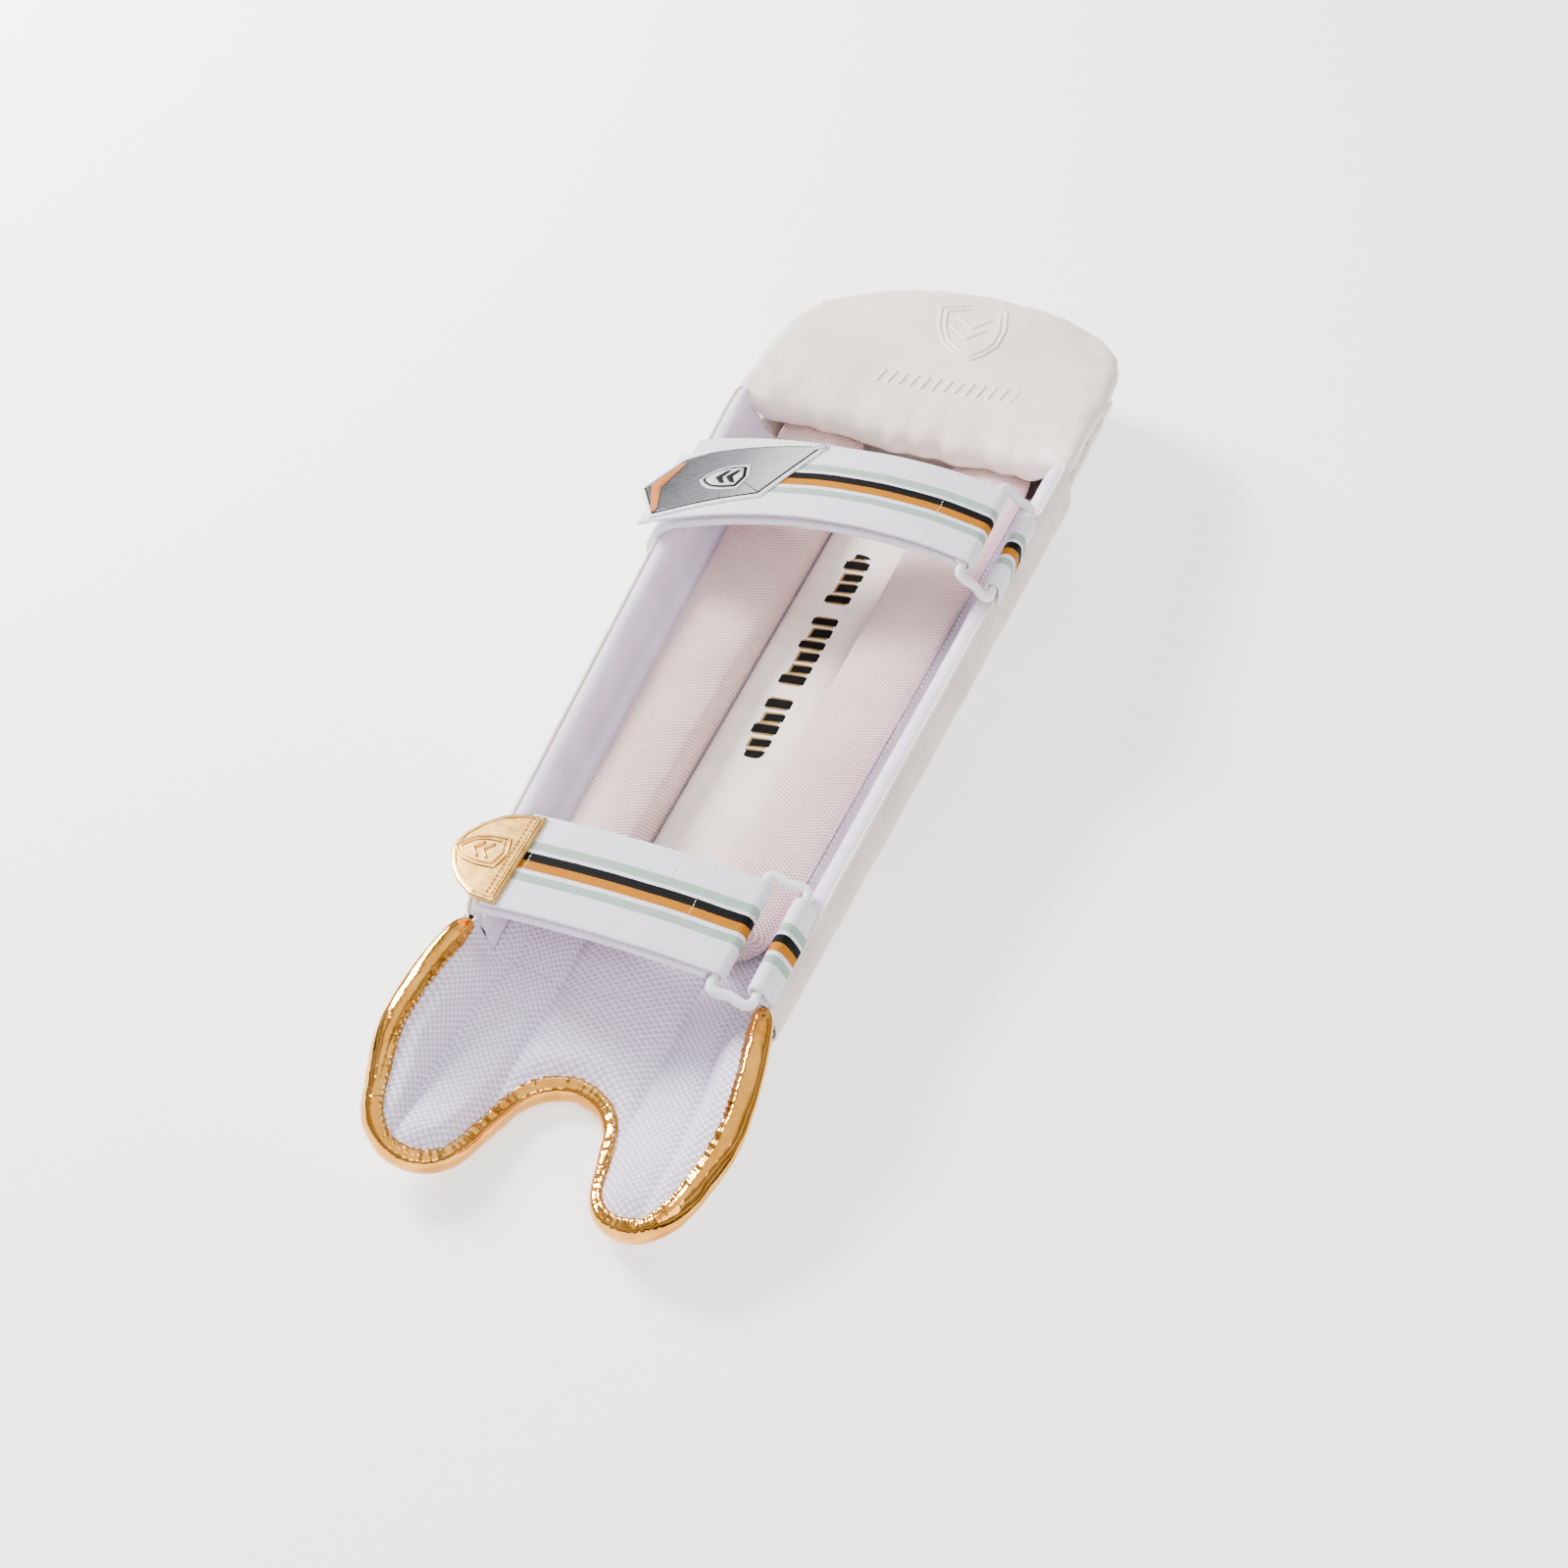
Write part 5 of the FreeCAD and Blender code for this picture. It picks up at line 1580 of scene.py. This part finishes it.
TAB = [(110, 2), (121, 2.5), (131, 6), (139, 13), (144.5, 21), (146.5, 28), (145.5, 34), (141, 43),
       (134, 51), (124, 58), (110, 60)]
settle(plate("lower_tab_gold", TAB, on_lower, -0.2, 1.7, TAB_GOLD, 1.4, 0.6), "lower_strap",
       ["lower_strap_tab"])
rim_line = closed_up(shrink(TAB, 2.2))


def tab_cord(name, line, rise, radius, closed):
    """A raised moulded line on the gold tab."""
    path = on_lower(line, rise)
    settle(piping("lower_tab_" + name, path, radius, path - on_lower(line, 0.0), TAB_GOLD, closed,
                  8), "lower_strap")


tab_cord("bead", rim_line[:-1], 1.75, 0.55, True)
tab_cord("shield_1", badge((131.0, 30.0), 19, 27), 1.8, 0.7, True)
tab_cord("shield_2", badge((131.0, 30.0), 14.5, 21.5), 1.9, 0.5, True)
tab_cord("mark_1", resample([(126, 25), (130.5, 30), (126, 35)], 0.7), 2.0, 0.75, False)
tab_cord("mark_2", resample([(131, 25), (135.5, 30), (131, 35)], 0.7), 2.0, 0.75, False)
rows = []
for run in (113.5, 116.5):
    line = np.stack([np.full(60, run), np.linspace(3.5, 58, 60)], -1)
    path = on_lower(line, 1.7)
    rows.append((path, path - on_lower(line, 0.0)))
settle(stitches("lower_tab_beads", rows, TAB_GOLD, 2.6, 1.9, 1.5, 0.9), "lower_strap")
rows = [stitch_row(lower, 107.5, 2, 58)]
settle(stitches("lower_tab_stitches", rows, THREAD, 2.6, 2.0, 0.5, 0.3), "lower_strap")

# ---------------------------------------------------------------------- floor, light and camera

AIM = Vector((0, 0, 0.040))
FLOOR_REACH, FLOOR_Z = 6.0, -0.0004
CAMERA_TURN, CAMERA_RISE, CAMERA_ROLL, CAMERA_AWAY = 22.15, 44.09, -0.78, 1.421
FOCAL, SENSOR, SHIFT_X, SHIFT_Y = 63.48, 36, 0.0026, -0.0648
WORLD_STRENGTH = 1.5
WORLD_LEVELS = ((0.04, 0.03), (0.14, 0.10), (0.24, 0.8), (0.34, 0.2), (0.46, 0.25), (0.58, 0.9),
                (0.67, 0.3), (0.75, 0.3), (0.88, 1.3))


def stage_floor():
    f = Finish("floor", rgb(250, 250, 250), 0.9)
    f.put(f.shader, {"Emission Color": (1, 1, 1, 1), "Emission Strength": 1.0})
    mesh = bpy.data.meshes.new("floor")
    corners = [(x * FLOOR_REACH, y * FLOOR_REACH, FLOOR_Z)
               for x, y in ((-1, -1), (1, -1), (1, 1), (-1, 1))]
    mesh.from_pydata(corners, [], [(0, 1, 2, 3)])
    mesh.materials.append(f.finish())
    link("floor", mesh)


def area_light(name, place, size, power):
    light = bpy.data.lights.new(name, "AREA")
    light.shape = "RECTANGLE"
    light.size, light.size_y = size
    light.energy = power
    lamp = link(name, light)
    lamp.location = place
    lamp.rotation_mode = "QUATERNION"
    lamp.rotation_quaternion = (AIM - Vector(place)).to_track_quat("-Z", "Y")


def make_world():
    world = bpy.data.worlds.new("studio")
    bpy.context.scene.world = world
    world.use_nodes = True
    tree = world.node_tree
    place = tree.nodes.new("ShaderNodeTexCoord")
    split = tree.nodes.new("ShaderNodeSeparateXYZ")
    ramp = tree.nodes.new("ShaderNodeValToRGB")
    tree.links.new(place.outputs["Generated"], split.inputs[0])
    tree.links.new(split.outputs[2], ramp.inputs[0])
    tree.links.new(ramp.outputs[0], tree.nodes["Background"].inputs[0])
    stops = ramp.color_ramp.elements
    while len(stops) < len(WORLD_LEVELS):
        stops.new(0.5)
    for stop, (height, level) in zip(stops, WORLD_LEVELS):
        stop.position = height
        stop.color = (level, level, level, 1)
    tree.nodes["Background"].inputs[1].default_value = WORLD_STRENGTH


def make_camera():
    """The camera at the photograph's angle."""
    turn, rise, roll = np.radians([CAMERA_TURN, CAMERA_RISE, CAMERA_ROLL]).tolist()
    away = Vector((math.sin(turn) * math.cos(rise), -math.cos(turn) * math.cos(rise),
                   math.sin(rise)))
    right = Vector((math.cos(turn), math.sin(turn), 0))
    up = away.cross(right)
    tilted = right * math.cos(roll) + up * math.sin(roll)
    upright = up * math.cos(roll) - right * math.sin(roll)
    lens = bpy.data.cameras.new("camera")
    lens.lens, lens.sensor_width = FOCAL, SENSOR
    lens.shift_x, lens.shift_y = SHIFT_X, SHIFT_Y
    camera = link("camera", lens)
    camera.matrix_world = Matrix((tilted, upright, away)).transposed().to_4x4()
    camera.location = AIM + away * CAMERA_AWAY
    bpy.context.scene.camera = camera


stage_floor()
make_world()
area_light("key", (-1.6, 0.55, 1.15), (0.7, 0.7), 125)
area_light("fill", (1.2, -1.5, 1.6), (1.4, 1.4), 30)
make_camera()
